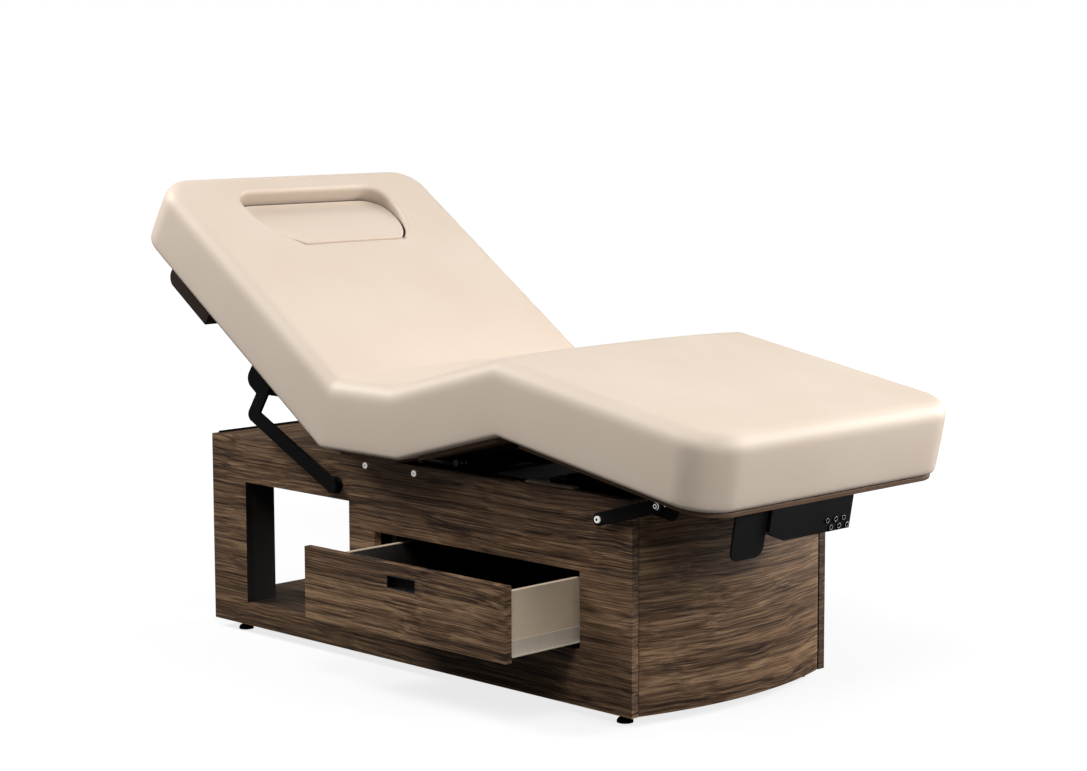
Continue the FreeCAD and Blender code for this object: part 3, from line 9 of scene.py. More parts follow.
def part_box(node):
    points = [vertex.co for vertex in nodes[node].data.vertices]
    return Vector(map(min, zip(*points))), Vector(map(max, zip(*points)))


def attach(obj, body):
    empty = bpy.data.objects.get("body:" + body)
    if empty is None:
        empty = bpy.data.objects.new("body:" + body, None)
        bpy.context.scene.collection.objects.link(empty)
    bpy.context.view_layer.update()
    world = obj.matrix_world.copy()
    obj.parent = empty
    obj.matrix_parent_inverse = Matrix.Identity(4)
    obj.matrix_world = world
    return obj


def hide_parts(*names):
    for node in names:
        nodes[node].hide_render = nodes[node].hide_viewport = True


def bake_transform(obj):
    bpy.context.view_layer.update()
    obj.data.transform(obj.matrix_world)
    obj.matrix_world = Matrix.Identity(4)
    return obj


# A spa bed: a jointed cream mattress over a walnut cabinet with an open drawer.
# Metres, +X to the foot end, the drawer side at -Y.

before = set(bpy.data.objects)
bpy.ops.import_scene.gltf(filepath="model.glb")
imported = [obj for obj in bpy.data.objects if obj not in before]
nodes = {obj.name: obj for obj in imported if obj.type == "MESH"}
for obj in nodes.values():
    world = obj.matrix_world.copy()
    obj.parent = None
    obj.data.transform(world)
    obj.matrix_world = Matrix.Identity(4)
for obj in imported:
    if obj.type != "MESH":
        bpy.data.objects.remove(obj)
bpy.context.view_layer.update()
print("frame loaded:", len(nodes), "nodes")


def closedSurface(name, grid):
    # rings of points, grid[ring, around]; quads join neighbours, and the first and last ring are
    # closed by a fan to their mean
    rings, around = grid.shape[:2]
    points = np.vstack([grid.reshape(-1, 3), grid[0].mean(0), grid[-1].mean(0)])
    r, a = np.meshgrid(np.arange(rings - 1), np.arange(around), indexing="ij")
    b = (a + 1) % around
    this, beyond = r * around, (r + 1) * around
    quads = np.stack([this + a, this + b, beyond + b, beyond + a], -1)
    ring = np.arange(around)
    following = (ring + 1) % around
    start = (rings - 1) * around
    low = np.stack([following, ring, np.full(around, rings * around)], -1)
    high = np.stack([start + ring, start + following, np.full(around, rings * around + 1)], -1)
    faces = quads.reshape(-1, 4).tolist() + low.tolist() + high.tolist()
    mesh = bpy.data.meshes.new(name)
    mesh.from_pydata(points.tolist(), [], faces)
    return finishMesh(name, mesh)


def finishMesh(name, mesh):
    bm = bmesh.new()
    bm.from_mesh(mesh)
    bmesh.ops.remove_doubles(bm, verts=bm.verts, dist=1e-6)
    bmesh.ops.recalc_face_normals(bm, faces=bm.faces)
    bm.to_mesh(mesh)
    bm.free()
    mesh.validate()
    smooth(mesh)
    return addObject(name, mesh)


def addObject(name, data):
    piece = bpy.data.objects.new(name, data)
    bpy.context.collection.objects.link(piece)
    return piece


def smooth(mesh):
    mesh.polygons.foreach_set("use_smooth", np.ones(len(mesh.polygons), bool))
    mesh.update()


def vertexArray(mesh):
    points = np.empty(len(mesh.vertices) * 3, np.float64)
    mesh.vertices.foreach_get("co", points)
    return points.reshape(-1, 3)


def setVertices(mesh, points):
    mesh.vertices.foreach_set("co", points.astype(np.float32).ravel())
    mesh.update()


def applyModifiers(piece):
    depsgraph = bpy.context.evaluated_depsgraph_get()
    mesh = bpy.data.meshes.new_from_object(piece.evaluated_get(depsgraph))
    piece.modifiers.clear()
    piece.data = mesh
    smooth(mesh)


def along(points, count):
    # the closed polyline resampled at equal steps of its length
    closed = np.vstack([points, points[:1]])
    length = np.concatenate([[0], np.cumsum(np.linalg.norm(np.diff(closed, axis=0), axis=1))])
    at = np.linspace(0, length[-1], count, endpoint=False)
    return np.stack([np.interp(at, length, closed[:, k]) for k in range(2)], -1)


def outwards(ring):
    # unit normals of a closed counter-clockwise plan outline, from the step between neighbours
    step = np.roll(ring, -1, 0) - np.roll(ring, 1, 0)
    normal = np.stack([step[:, 1], -step[:, 0]], -1)
    return normal / np.linalg.norm(normal, axis=1, keepdims=True)


def join(name, pieces):
    bm = bmesh.new()
    for piece in pieces:
        bm.from_mesh(piece.data)
        bpy.data.objects.remove(piece)
    mesh = bpy.data.meshes.new(name)
    bm.to_mesh(mesh)
    bm.free()
    return addObject(name, mesh)


def settle(name, pieces, finish, body):
    # the pieces joined to one, with its finish and body
    whole = join(name, pieces)
    smooth(whole.data)
    whole.data.materials.append(finishes[finish])
    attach(whole, body)
    return whole


def srgb(red, green, blue):
    # a colour as seen on screen, 0 to 255, turned into the linear values that a shader takes
    share = np.array([red, green, blue]) / 255
    line = np.where(share <= 0.04045, share / 12.92, ((share + 0.055) / 1.055) ** 2.4)
    return (*line.tolist(), 1.0)


def feed(tree, node, inputs):
    # each input is linked to a socket or set to a value
    for key, value in inputs.items():
        if isinstance(value, bpy.types.NodeSocket):
            tree.links.new(value, node.inputs[key])
        else:
            node.inputs[key].default_value = value


def addNode(tree, kind, inputs=None, **settings):
    node = tree.nodes.new(kind)
    for key, value in settings.items():
        setattr(node, key, value)
    feed(tree, node, inputs or {})
    return node


def newGroup(name, inputs, outputs):
    # inputs as label: default, where None stands for a vector; each output is a value
    group = bpy.data.node_groups.new(name, "ShaderNodeTree")
    for label, default in inputs.items():
        kind = "NodeSocketVector" if default is None else "NodeSocketFloat"
        socket = group.interface.new_socket(name=label, in_out="INPUT", socket_type=kind)
        if default is not None:
            socket.default_value = default
    for label in outputs:
        group.interface.new_socket(name=label, in_out="OUTPUT", socket_type="NodeSocketFloat")
    entry = group.nodes.new("NodeGroupInput")
    leave = group.nodes.new("NodeGroupOutput")
    return group, entry.outputs, leave.inputs


def stretched(tree, vector, scale, **texture):
    # noise on coordinates that are stretched by a scale for each axis
    mapped = addNode(tree, "ShaderNodeMapping", {"Vector": vector, "Scale": scale})
    inputs = {"Vector": mapped.outputs[0], "Scale": 1.0, **texture}
    return addNode(tree, "ShaderNodeTexNoise", inputs)


def noise(tree, vector, scale, detail):
    inputs = {"Vector": vector, "Scale": scale, "Detail": detail}
    return addNode(tree, "ShaderNodeTexNoise", inputs).outputs[0]


def mathNode(tree, operation, a, b):
    return addNode(tree, "ShaderNodeMath", {0: a, 1: b}, operation=operation).outputs[0]


def within(tree, value, low, high):
    # where a value lies between two bounds, from 0 to 1
    inputs = {"Value": value, "From Min": low, "From Max": high}
    return addNode(tree, "ShaderNodeMapRange", inputs).outputs[0]


def spread(tree, value, low, high):
    # a value from 0 to 1 turned into a range
    inputs = {"Value": value, "To Min": low, "To Max": high}
    return addNode(tree, "ShaderNodeMapRange", inputs).outputs[0]


def mixed(tree, share, first, second, blend="MIX"):
    # two colours; the mix node has them at the inputs 6 and 7 and their mix at the output 2
    inputs = {0: share, 6: first, 7: second}
    return addNode(tree, "ShaderNodeMix", inputs, data_type="RGBA", blend_type=blend).outputs[2]


wood = {  # the noises are scaled in X, Y and Z, and the grain runs along X
    "sway": (1.5, 4.0, 4.0), "swayWidth": 0.055,
    "layers": {  # scale, roughness and share of the figure
        "bands": ((0.5, 24.0, 24.0), 0.5, 0.24),
        "streaks": ((1.4, 130.0, 130.0), 0.55, 0.28),
        "fibres": ((5.0, 380.0, 380.0), 0.6, 0.48),
    },
    "contrast": (0.395, 0.605),
    "pores": (45.0, 1300.0, 1300.0), "poreRange": (0.60, 0.70),
    "tones": ((0.0, (42, 29, 21)), (0.30, (92, 70, 52)), (0.60, (130, 101, 76)),
              (1.0, (180, 146, 112))),
    "poreTone": (120, 105, 95), "poreShare": 0.55, "poreDepth": 0.0002,
    "blackEdge": (22, 17, 14), "edgeReach": 0.0009,
    "roughness": (0.52, 0.40), "specular": 0.35,
}


def makeWoodFigure(w):
    # wavy bands, finer streaks and fibres along X, each a noise stretched along the grain
    group, given, result = newGroup("woodFigure", {"Vector": None}, ("Figure", "Pores"))
    vector = given["Vector"]
    sway = stretched(group, vector, w["sway"], Detail=3.0)
    centred = mathNode(group, "SUBTRACT", sway.outputs[0], 0.5)
    lift = mathNode(group, "MULTIPLY", centred, w["swayWidth"])
    offset = addNode(group, "ShaderNodeCombineXYZ", {"Y": lift, "Z": lift})
    waved = addNode(group, "ShaderNodeVectorMath", {0: vector, 1: offset.outputs[0]},
                    operation="ADD").outputs[0]
    parts = []
    for scale, roughness, share in w["layers"].values():
        layer = stretched(group, waved, scale, Detail=3.0, Roughness=roughness)
        parts.append(mathNode(group, "MULTIPLY", layer.outputs[0], share))
    total = mathNode(group, "ADD", mathNode(group, "ADD", parts[0], parts[1]), parts[2])
    group.links.new(within(group, total, *w["contrast"]), result["Figure"])
    dashes = stretched(group, waved, w["pores"], Detail=1.0)
    group.links.new(within(group, dashes.outputs[0], *w["poreRange"]), result["Pores"])
    return group


def makeSpeckle():
    # uneven tone from two noises, and a fine relief from a third
    group, given, result = newGroup("speckle", {"Vector": None, "Grain": 900.0}, ("Tone", "Relief"))
    broad = mathNode(group, "MULTIPLY", noise(group, given["Vector"], 6.0, 4.0), 0.6)
    close = mathNode(group, "MULTIPLY", noise(group, given["Vector"], 90.0, 3.0), 0.4)
    group.links.new(mathNode(group, "ADD", broad, close), result["Tone"])
    group.links.new(noise(group, given["Vector"], given["Grain"], 2.0), result["Relief"])
    return group


def makeVinylGrain():
    # pebbles of soft cells with fine creases between them, about a millimetre across
    inputs = {"Vector": None, "Pebbles": 800.0}
    group, given, result = newGroup("vinylGrain", inputs, ("Relief", "Tone"))
    cells = addNode(group, "ShaderNodeTexVoronoi",
                    {"Vector": given["Vector"], "Scale": given["Pebbles"]}, feature="SMOOTH_F1")
    folds = mathNode(group, "MULTIPLY", noise(group, given["Vector"], 260.0, 4.0), 0.6)
    height = mathNode(group, "ADD", cells.outputs["Distance"], folds)
    group.links.new(height, result["Relief"])
    group.links.new(noise(group, given["Vector"], 5.0, 5.0), result["Tone"])
    return group


woodFigure = makeWoodFigure(wood)
speckle = makeSpeckle()
vinylGrain = makeVinylGrain()


def newMaterial(name):
    material = bpy.data.materials.new(name)
    material.use_nodes = True
    tree = material.node_tree
    shader = tree.nodes["Principled BSDF"]
    coordinates = tree.nodes.new("ShaderNodeTexCoord")
    return material, tree, shader, coordinates.outputs["Object"]


def useGroup(tree, group, **inputs):
    return addNode(tree, "ShaderNodeGroup", inputs, node_tree=group)


def ramp(tree, factor, *stops):
    node = tree.nodes.new("ShaderNodeValToRGB")
    elements = node.color_ramp.elements
    while len(elements) < len(stops):
        elements.new(0.5)
    for element, (place, colour) in zip(elements, stops):
        element.position = place
        element.color = colour
    tree.links.new(factor, node.inputs[0])
    return node.outputs[0]


def relief(tree, height, distance, strength=1.0):
    inputs = {"Height": height, "Distance": distance, "Strength": strength}
    return addNode(tree, "ShaderNodeBump", inputs).outputs[0]


def walnut(name, turn, shift, shade=1.0, blackAt=None, through=(1.0, 0.1, 1.0)):
    # laminate with a printed walnut figure that runs along X, turned about Z to suit the panel;
    # a face that lies across X at blackAt is a black edge
    material, tree, shader, place = newMaterial(name)
    # across the panel's thickness the figure hardly changes, as a sheet's print does not
    flat = addNode(tree, "ShaderNodeMapping", {"Vector": place, "Rotation": (0, 0, turn)})
    mapped = addNode(tree, "ShaderNodeMapping",
                     {"Vector": flat.outputs[0], "Location": shift, "Scale": through})
    figure = useGroup(tree, woodFigure, Vector=mapped.outputs[0])
    # shade scales the walnut's tones: painted light and shade, so that each panel's copy is as
    # bright as that panel looks lit
    tones = [(stop, srgb(*(part * shade for part in tone))) for stop, tone in wood["tones"]]
    base = mixed(tree, mathNode(tree, "MULTIPLY", figure.outputs["Pores"], wood["poreShare"]),
                 ramp(tree, figure.outputs["Figure"], *tones), srgb(*wood["poreTone"]), "MULTIPLY")
    if blackAt is not None:
        position = addNode(tree, "ShaderNodeSeparateXYZ", {"Vector": place})
        inputs = {0: position.outputs["X"], 1: blackAt, 2: wood["edgeReach"]}
        near = addNode(tree, "ShaderNodeMath", inputs, operation="COMPARE")
        normal = tree.nodes.new("ShaderNodeNewGeometry").outputs["True Normal"]
        facing = addNode(tree, "ShaderNodeSeparateXYZ", {"Vector": normal})
        steep = mathNode(tree, "ABSOLUTE", facing.outputs["X"], 0.0)
        across = mathNode(tree, "GREATER_THAN", steep, 0.5)
        black = mathNode(tree, "MULTIPLY", near.outputs[0], across)
        base = mixed(tree, black, base, srgb(*wood["blackEdge"]))
    sunk = mathNode(tree, "SUBTRACT", 0.0, figure.outputs["Pores"])
    feed(tree, shader, {
        "Base Color": base,
        "Roughness": spread(tree, figure.outputs["Figure"], *wood["roughness"]),
        "Specular IOR Level": wood["specular"],
        "Normal": relief(tree, sunk, wood["poreDepth"], 0.6)})
    return material


def plainFinish(name, low, high, roughness, grain, depth, metallic=0.0, specular=0.4, glow=0.0):
    # one colour that drifts between two tones, with a fine relief; a little glow stands in for
    # the bright studio that polished steel mirrors
    material, tree, shader, place = newMaterial(name)
    marks = useGroup(tree, speckle, Vector=place, Grain=grain)
    tone = marks.outputs["Tone"]
    feed(tree, shader, {
        "Base Color": ramp(tree, tone, (0.35, srgb(*low)), (0.65, srgb(*high))),
        "Roughness": spread(tree, tone, roughness - 0.06, roughness + 0.06),
        "Metallic": metallic, "Specular IOR Level": specular,
        "Emission Color": (1.0, 0.98, 0.95, 1.0), "Emission Strength": glow,
        "Normal": relief(tree, marks.outputs["Relief"], depth)})
    return material


cream = {
    "pebbles": 820.0, "depth": 0.00012,
    "low": (241, 222, 203), "high": (244, 227, 209), "paintedShade": (62, 48, 38),
    "gap": (-0.0005, -0.002),  # the cover takes the painted shadow colour between these depths
    "roughness": (0.46, 0.54), "specular": 0.4, "sheen": 0.05,
}


def creamCover(values):
    # two attributes of the meshes paint shade into it: "shade" a little, on the recess's wall, and
    # the height over the sunk insert wholly, where it is below zero, which is a painted shadow in
    # the gap round the insert
    material, tree, shader, place = newMaterial("creamVinyl")
    grain = useGroup(tree, vinylGrain, Vector=place, Pebbles=values["pebbles"])
    tone = grain.outputs["Tone"]
    shade = addNode(tree, "ShaderNodeAttribute", attribute_name="shade").outputs["Fac"]
    gapShadow = addNode(tree, "ShaderNodeAttribute", attribute_name="gapShadow").outputs["Fac"]
    share = mathNode(tree, "MAXIMUM", within(tree, gapShadow, *values["gap"]), shade)
    light = ramp(tree, tone, (0.3, srgb(*values["low"])), (0.7, srgb(*values["high"])))
    feed(tree, shader, {
        "Base Color": mixed(tree, share, light, srgb(*values["paintedShade"])),
        "Roughness": spread(tree, tone, *values["roughness"]),
        "Specular IOR Level": values["specular"], "Sheen Weight": values["sheen"],
        "Normal": relief(tree, grain.outputs["Relief"], values["depth"], 0.5)})
    return material


quarterTurn = math.pi / 2
level = (1.0, 1.0, 0.1)  # for boards that lie flat
bayEdge = -0.5545  # the head-end edge of the side's opening
walnuts = {  # turn, shift, shade, blackAt, through; shade gives each panel a lighter or darker copy of the one walnut, painted light and shade for how brightly that panel is lit
    "walnutSide": (0.0, (0.0, 0.0, 0.0), 0.96, bayEdge),
    "walnutFar": (0.0, (0.7, 0.3, 1.3), 0.80),
    "walnutDrawer": (0.0, (1.9, 0.2, 0.6), 1.04),
    "walnutFoot": (quarterTurn, (0.4, 2.3, 0.9), 1.02),
    "walnutBase": (0.0, (0.9, 1.1, 0.4), 0.62, None, level),
    "walnutTop": (quarterTurn, (2.2, 0.9, 1.7), 1.0, None, level),
    "walnutHead": (quarterTurn, (3.1, 0.5, 0.2)),
}
plains = {  # low, high, roughness, grain, depth, metallic, specular, glow
    "darkBoard": ((22, 16, 13), (30, 23, 19), 0.6, 700.0, 0.0001),
    "brownBoard": ((104, 79, 60), (120, 93, 72), 0.55, 500.0, 0.00015),
    "headBoxBoard": ((48, 34, 26), (58, 42, 33), 0.55, 600.0, 0.0001),
    "creamBoard": ((226, 206, 180), (234, 215, 190), 0.42, 900.0, 0.00006),
    "blackSteel": ((13, 11, 11), (19, 17, 17), 0.5, 1500.0, 0.00008, 0.0, 0.15),
    "whiteSteel": ((208, 196, 180), (222, 210, 194), 0.4, 1500.0, 0.00006),
    "brightSteel": ((244, 243, 240), (250, 249, 247), 0.3, 1200.0, 0.00004, 0.2),
    # the bolts' steel glows a little: a painted highlight for the studio light that the polished
    # heads mirror
    "boltSteelPaintedHighlight": ((244, 243, 240), (250, 249, 247), 0.3, 1200.0, 0.00004, 0.2, 0.4, 0.38),
    "blackPlastic": ((14, 12, 12), (21, 19, 19), 0.5, 1100.0, 0.0001, 0.0, 0.2),
    "greyPlastic": ((84, 84, 87), (98, 98, 101), 0.5, 1100.0, 0.0001),
    "blackRubber": ((15, 13, 12), (22, 20, 19), 0.75, 800.0, 0.0001, 0.0, 0.2),
    "plywood": ((178, 146, 106), (196, 165, 124), 0.6, 300.0, 0.0002),
}
finishes = {name: walnut(name, *values) for name, values in walnuts.items()}
finishes["creamVinyl"] = creamCover(cream)
finishes.update({name: plainFinish(name, *values) for name, values in plains.items()})

finishNodes = {  # the CAD nodes that each finish goes on
    "walnutSide": "near_side_panel", "walnutFar": "far_side_panel", "walnutFoot": "foot_panel",
    "walnutDrawer": "drawer_front", "walnutHead": "head_end_boards", "walnutTop": "top_board",
    "walnutBase": "base_board", "blackRubber": "rubber_strip", "creamBoard": "drawer_sides",
    "plywood": "headrest_board", "headBoxBoard": "head_box", "boltSteelPaintedHighlight": "link_pivot_bolts",
    # darkBoard is the own dark colour of the shelves and the bay's walls; on the drawer's
    # partitions, back and floor it is painted shade, the shadow inside the drawer
    "darkBoard": "inner_shelves bay_walls drawer_partitions drawer_back drawer_floor",
    "blackPlastic": "levelling_feet flush_pull shaft_bushes control_box control_sockets hanger_tab "
                    "power_supply power_inlet",
    "whiteSteel": "moving_runners fixed_runners rest_pads",
    "blackSteel": "top_frame actuator_crossbars back_frame seat_frame thigh_frame leg_frame "
                  "lift_arms cam_plates torque_shaft near_link far_link leg_brackets",
    "brightSteel": "frame_bolts headrest_rod seat_hinge_pins knee_hinge_pins back_actuator_rod "
                   "leg_actuator_rod",
    "brownBoard": "back_board seat_board thigh_board leg_board",
    "greyPlastic": "back_actuator leg_actuator",
}

# edges of the boxy CAD nodes are broken by these radii: the loose triangles are welded first, so
# nodes whose boards touch (bay_walls, head_end_boards) are left out
edgeNodes = {
    0.0005: "flush_pull",
    0.0006: "near_side_panel far_side_panel foot_panel top_board base_board",
    0.0008: "drawer_front drawer_back back_frame seat_frame thigh_frame leg_frame lift_arms "
            "cam_plates near_link far_link leg_brackets rest_pads",
    0.0010: "drawer_sides rubber_strip hanger_tab",
    0.0012: "back_board seat_board thigh_board leg_board top_frame control_box actuator_crossbars",
    0.0015: "head_box",
    0.0020: "power_supply",
}


def breakEdges(piece, radius):
    weld = piece.modifiers.new("weld", "WELD")
    weld.merge_threshold = 1e-5
    flatten = piece.modifiers.new("flatten", "DECIMATE")
    flatten.decimate_type = "DISSOLVE"
    flatten.angle_limit = math.radians(0.2)
    bevel = piece.modifiers.new("bevel", "BEVEL")
    bevel.width = radius
    bevel.segments = 2
    bevel.limit_method = "ANGLE"
    bevel.angle_limit = math.radians(40)
    bevel.harden_normals = True


for finish, names in finishNodes.items():
    for name in names.split():
        nodes[name].data.materials.clear()
        nodes[name].data.materials.append(finishes[finish])
for radius, names in edgeNodes.items():
    for name in names.split():
        breakEdges(nodes[name], radius)
print("finishes on the CAD nodes")


mattress = {
    "halfWidth": 0.397,  # at its widest
    "height": 0.160,  # at the crown
    "edgeHeight": 0.156,
    "sideHeight": 0.120,  # where the side turns over to the top
    "topTurn": 0.036,
    "footDraw": 0.005,
    "footRadius": 0.009,
    "planCorner": 0.095, "headCorner": 0.084,
    "backLength": 0.800, "seatLength": 0.2542, "thighLength": 0.3160, "legLength": 0.5752,
    "crease": (-0.1788, 0.4866),  # under the back, in X and Z
    "backAngle": 34.6, "thighAngle": 14.9, "legAngle": 9.97,
    "creaseReach": 0.12,  # how far from a crease the sections lean towards it
    "creaseSoftness": 0.008, "creaseSoftnessBelow": 0.004,
    # each blend across a joint runs from and to these distances from its crease
    "backBlend": (-0.15, 0.10), "thighBlend": (-0.10, 0.12), "kneeBlend": (-0.12, 0.14),
    "tableMargin": 0.10, "tableCount": 4001,
    "outlineCount": 720, "cornerCount": 24, "arcSteps": 9, "sideSteps": 12, "sideCurve": 1.6,
    "inmost": 0.999, "topRings": 14, "underRings": 12, "underStep": 0.004,
    "squareFrom": 0.05, "squareRadius": 0.6,  # the inner rings' corners, as a share of their width
    "voxel": 0.007, "softenSteps": 4,
}


def eased(share):
    # from 0 to 1 as 3 t^2 - 2 t^3, level at both ends
    share = np.clip(share, 0, 1)
    return share * share * (3 - 2 * share)


def slopeOf(angle):
    # unit direction along +X that climbs by an angle, and its normal to the upper side
    a = math.radians(angle)
    return np.array([math.cos(a), math.sin(a)]), np.array([-math.sin(a), math.cos(a)])


def bendTable(m):
    # Along the flat mattress, s runs from the head end (-backLength) over the back's crease (0)
    # to the foot end. For each s the table holds the point of the underside and the point of the
    # crown line. At a crease both sections end on the plane halfway between them, so the crown's
    # point is shifted by height times the tangent of half the fold, fading out over creaseReach.
    # Both lines are then blurred by a bell curve, so that a crease is round.
    lengths = [m["backLength"], m["seatLength"], m["thighLength"], m["legLength"]]
    angles = [-m["backAngle"], 0.0, m["thighAngle"], -m["legAngle"]]
    s = np.linspace(-m["tableMargin"], sum(lengths) + m["tableMargin"], m["tableCount"])
    starts = np.cumsum([0] + lengths)
    low, high = np.zeros((len(s), 2)), np.zeros((len(s), 2))
    corner = np.array(m["crease"]) - slopeOf(angles[0])[0] * lengths[0]
    for k, (length, angle) in enumerate(zip(lengths, angles)):
        direction, normal = slopeOf(angle)
        here = s >= starts[k] if k else np.ones(len(s), bool)
        local = s - starts[k]
        shift = np.zeros(len(s))
        for place, neighbour in ((0.0, k - 1), (length, k + 1)):
            if 0 <= neighbour < len(lengths):
                fold = math.radians(angle - angles[neighbour]) / 2
                near = 1 - np.abs(local - place) / m["creaseReach"]
                shift += math.tan(fold) * m["height"] * eased(near)
        point = corner + local[:, None] * direction
        low[here] = point[here]
        high[here] = (point + shift[:, None] * direction + m["height"] * normal)[here]
        corner = corner + length * direction
    step = s[1] - s[0]
    table = []
    for line, softness in ((low, m["creaseSoftnessBelow"]), (high, m["creaseSoftness"])):
        reach = int(4 * softness / step)
        weight = np.exp(-0.5 * (np.arange(-reach, reach + 1) * step / softness) ** 2)
        weight /= weight.sum()
        padded = np.vstack([line[0] + (line[0] - line[1]) * np.arange(reach, 0, -1)[:, None], line,
                            line[-1] + (line[-1] - line[-2]) * np.arange(1, reach + 1)[:, None]])
        table.append(np.stack([np.convolve(padded[:, k], weight, "valid") for k in range(2)], -1))
    return s - m["backLength"], table[0], table[1]


bendAt, bendLow, bendHigh = bendTable(mattress)


def bent(points):
    # a point (s, y, w) of the flat mattress goes to the share w / height of the way from the
    # underside's point at s to the crown line's
    s, y, w = points.T
    share = (w / mattress["height"])[:, None]
    low = np.stack([np.interp(s, bendAt, bendLow[:, k]) for k in range(2)], -1)
    high = np.stack([np.interp(s, bendAt, bendHigh[:, k]) for k in range(2)], -1)
    place = low * (1 - share) + high * share
    return np.stack([place[:, 0], y, place[:, 1]], -1)


def roundedPlan(start, end, half, startRadius, endRadius, count):
    # a rectangle's outline with round corners, counter-clockwise from above
    angle = np.linspace(0, math.pi / 2, mattress["cornerCount"])
    corner = np.stack([np.cos(angle), np.sin(angle)], -1)
    pieces = []
    for turn, (x, y, radius) in enumerate(((end, half, endRadius), (start, half, startRadius),
                                           (start, -half, startRadius), (end, -half, endRadius))):
        c, d = math.cos(turn * math.pi / 2), math.sin(turn * math.pi / 2)
        centre = np.array([x - math.copysign(radius, x), y - math.copysign(radius, y)])
        pieces.append(radius * corner @ np.array([[c, d], [-d, c]]) + centre)
    return along(np.vstack(pieces), count)


def sideProfile(m):
    # (inset from the widest outline, height) from the underside over the side to the crown's edge
    quarter = np.linspace(0, math.pi / 2, m["arcSteps"])
    foot = np.stack([m["footDraw"] + m["footRadius"] * (1 - np.sin(quarter)),
                     m["footRadius"] * (1 - np.cos(quarter))], -1)
    rise = np.linspace(m["footRadius"], m["sideHeight"], m["sideSteps"])[1:]
    side = np.stack([m["footDraw"] * (1 - rise / m["sideHeight"]) ** m["sideCurve"], rise], -1)
    turn = np.stack([m["topTurn"] * (1 - np.cos(quarter[1:])),
                     m["sideHeight"] + m["topTurn"] * np.sin(quarter[1:])], -1)
    return np.vstack([foot, side, turn])


def flatMattress(m):
    # rings of the plan outline: each is drawn in by the profile's inset and lifted to its height;
    # inside the last ring the top rises to the crown and the underside stays flat
    start, end = -m["backLength"], m["seatLength"] + m["thighLength"] + m["legLength"]
    profile = sideProfile(m)
    half = m["halfWidth"]
    inmost = half * m["inmost"]
    inner = np.linspace(m["topTurn"], inmost, m["topRings"])[1:]
    top = np.stack([inner, m["edgeHeight"] + (m["height"] - m["edgeHeight"])
                    * (1 - ((half - inner) / (half - m["topTurn"])) ** 2)], -1)
    outer = np.linspace(inmost, profile[0, 0] + m["underStep"], m["underRings"])
    under = np.stack([outer, np.zeros(len(outer))], -1)
    rings = []
    for inset, height in np.vstack([under, profile, top]):
        radii = []
        for corner in (m["headCorner"], m["planCorner"]):
            square = (half - inset) * m["squareRadius"] if inset > m["squareFrom"] else 0.0
            radius = max(corner - inset, square)
            radii.append(min(radius, half - inset - 1e-5))
        plan = roundedPlan(start + inset, end - inset, half - inset, *radii, m["outlineCount"])
        rings.append(np.column_stack([plan, np.full(len(plan), height)]))
    return closedSurface("mattressBlank", np.array(rings))


recess = {
    "foldLine": 0.512, "centre": 0.672, "end": 0.724, "halfWidth": 0.226, "reach": 0.218,
    "corner": 0.052, "floor": 0.036, "offset": 0.005,
    "lip": 0.017,  # how far the rim rolls over
    "lipAtFold": 0.001, "ease": 0.05, "lipSteps": 8,
    "above": 0.03,  # the tool stands out of the top by this
    "archSteps": 60, "cornerSteps": 30, "planCount": 360,
    "shade": 0.35, "shadeDepth": 0.012, "margin": 0.03,  # the wall's painted shade
    "foldSpare": 0.006, "foldNear": 0.015,  # less of the gap takes the painted shadow this near to the fold line
}

insert = {  # the head insert
    "gap": 0.0040, "gapAtFold": 0.0006, "foldSink": 0.0015,
    "draft": 0.012, "slope": 0.016, "thickness": 0.060,
    "edge": 0.005, "edgeAtFold": 0.0008,
    "rodSetback": 0.008, "rodDrop": 0.012,
    "tilt": 12.1,  # how far it is sunk, in degrees
    "footShares": (0.1, 0.5, 0.9, 0.98), "topShares": (0.94, 0.06, 12), "edgeSteps": 7,
    "footLift": 0.004,
    "darkBelow": 0.004, "darkAway": 0.9,  # where the insert's wall takes the painted shadow: under the edge, off the fold
}


def recessPlan(r, inset=0.0, foldInset=0.0):
    # half an ellipse towards the fold line, cut off straight there, and a round-cornered head side
    half, reach, end = r["halfWidth"] - inset, r["reach"] - inset, r["end"] - inset
    line = r["foldLine"] + foldInset
    limit = math.acos((r["centre"] - line) / reach)
    sweep = np.linspace(limit, math.pi / 2, r["archSteps"])
    arch = np.stack([r["centre"] - reach * np.cos(sweep), half * np.sin(sweep)], -1)
    quarter = np.linspace(0, math.pi / 2, r["cornerSteps"])[1:]
    sideEnd = end - r["corner"]
    head = np.stack([sideEnd + r["corner"] * np.sin(quarter),
                     half - r["corner"] + r["corner"] * np.cos(quarter)], -1)
    side = np.vstack([arch, head])
    ring = np.vstack([side, side[::-1] * (1, -1)])
    ring[:, 0] *= -1  # the head end lies at negative s
    return along(ring + (0, r["offset"]), r["planCount"])


def awayFromFold(plan, r):
    # 0 at the fold line, rising smoothly to 1 at a distance of ease from it
    return eased((-plan[:, 0] - r["foldLine"]) / r["ease"])


def recessTool(r, m):
    # walls straight up from the floor, then a quarter turn outwards that makes the rim's lip; the
    # lip's size follows how far a point of the outline lies from the fold line
    plan = recessPlan(r)
    normal = outwards(plan)
    if (normal * (plan - plan.mean(0))).sum() < 0:
        normal = -normal
    lip = r["lipAtFold"] + (r["lip"] - r["lipAtFold"]) * awayFromFold(plan, r)
    rings = [np.column_stack([plan, np.full(len(plan), r["floor"])])]
    for angle in np.linspace(0, math.pi / 2, r["lipSteps"]):
        out = plan + normal * (lip * (1 - math.cos(angle)))[:, None]
        rings.append(np.column_stack([out, m["height"] - lip * (1 - math.sin(angle))]))
    rings.append(rings[-1] + (0, 0, r["above"]))
    return closedSurface("recessTool", np.array(rings))


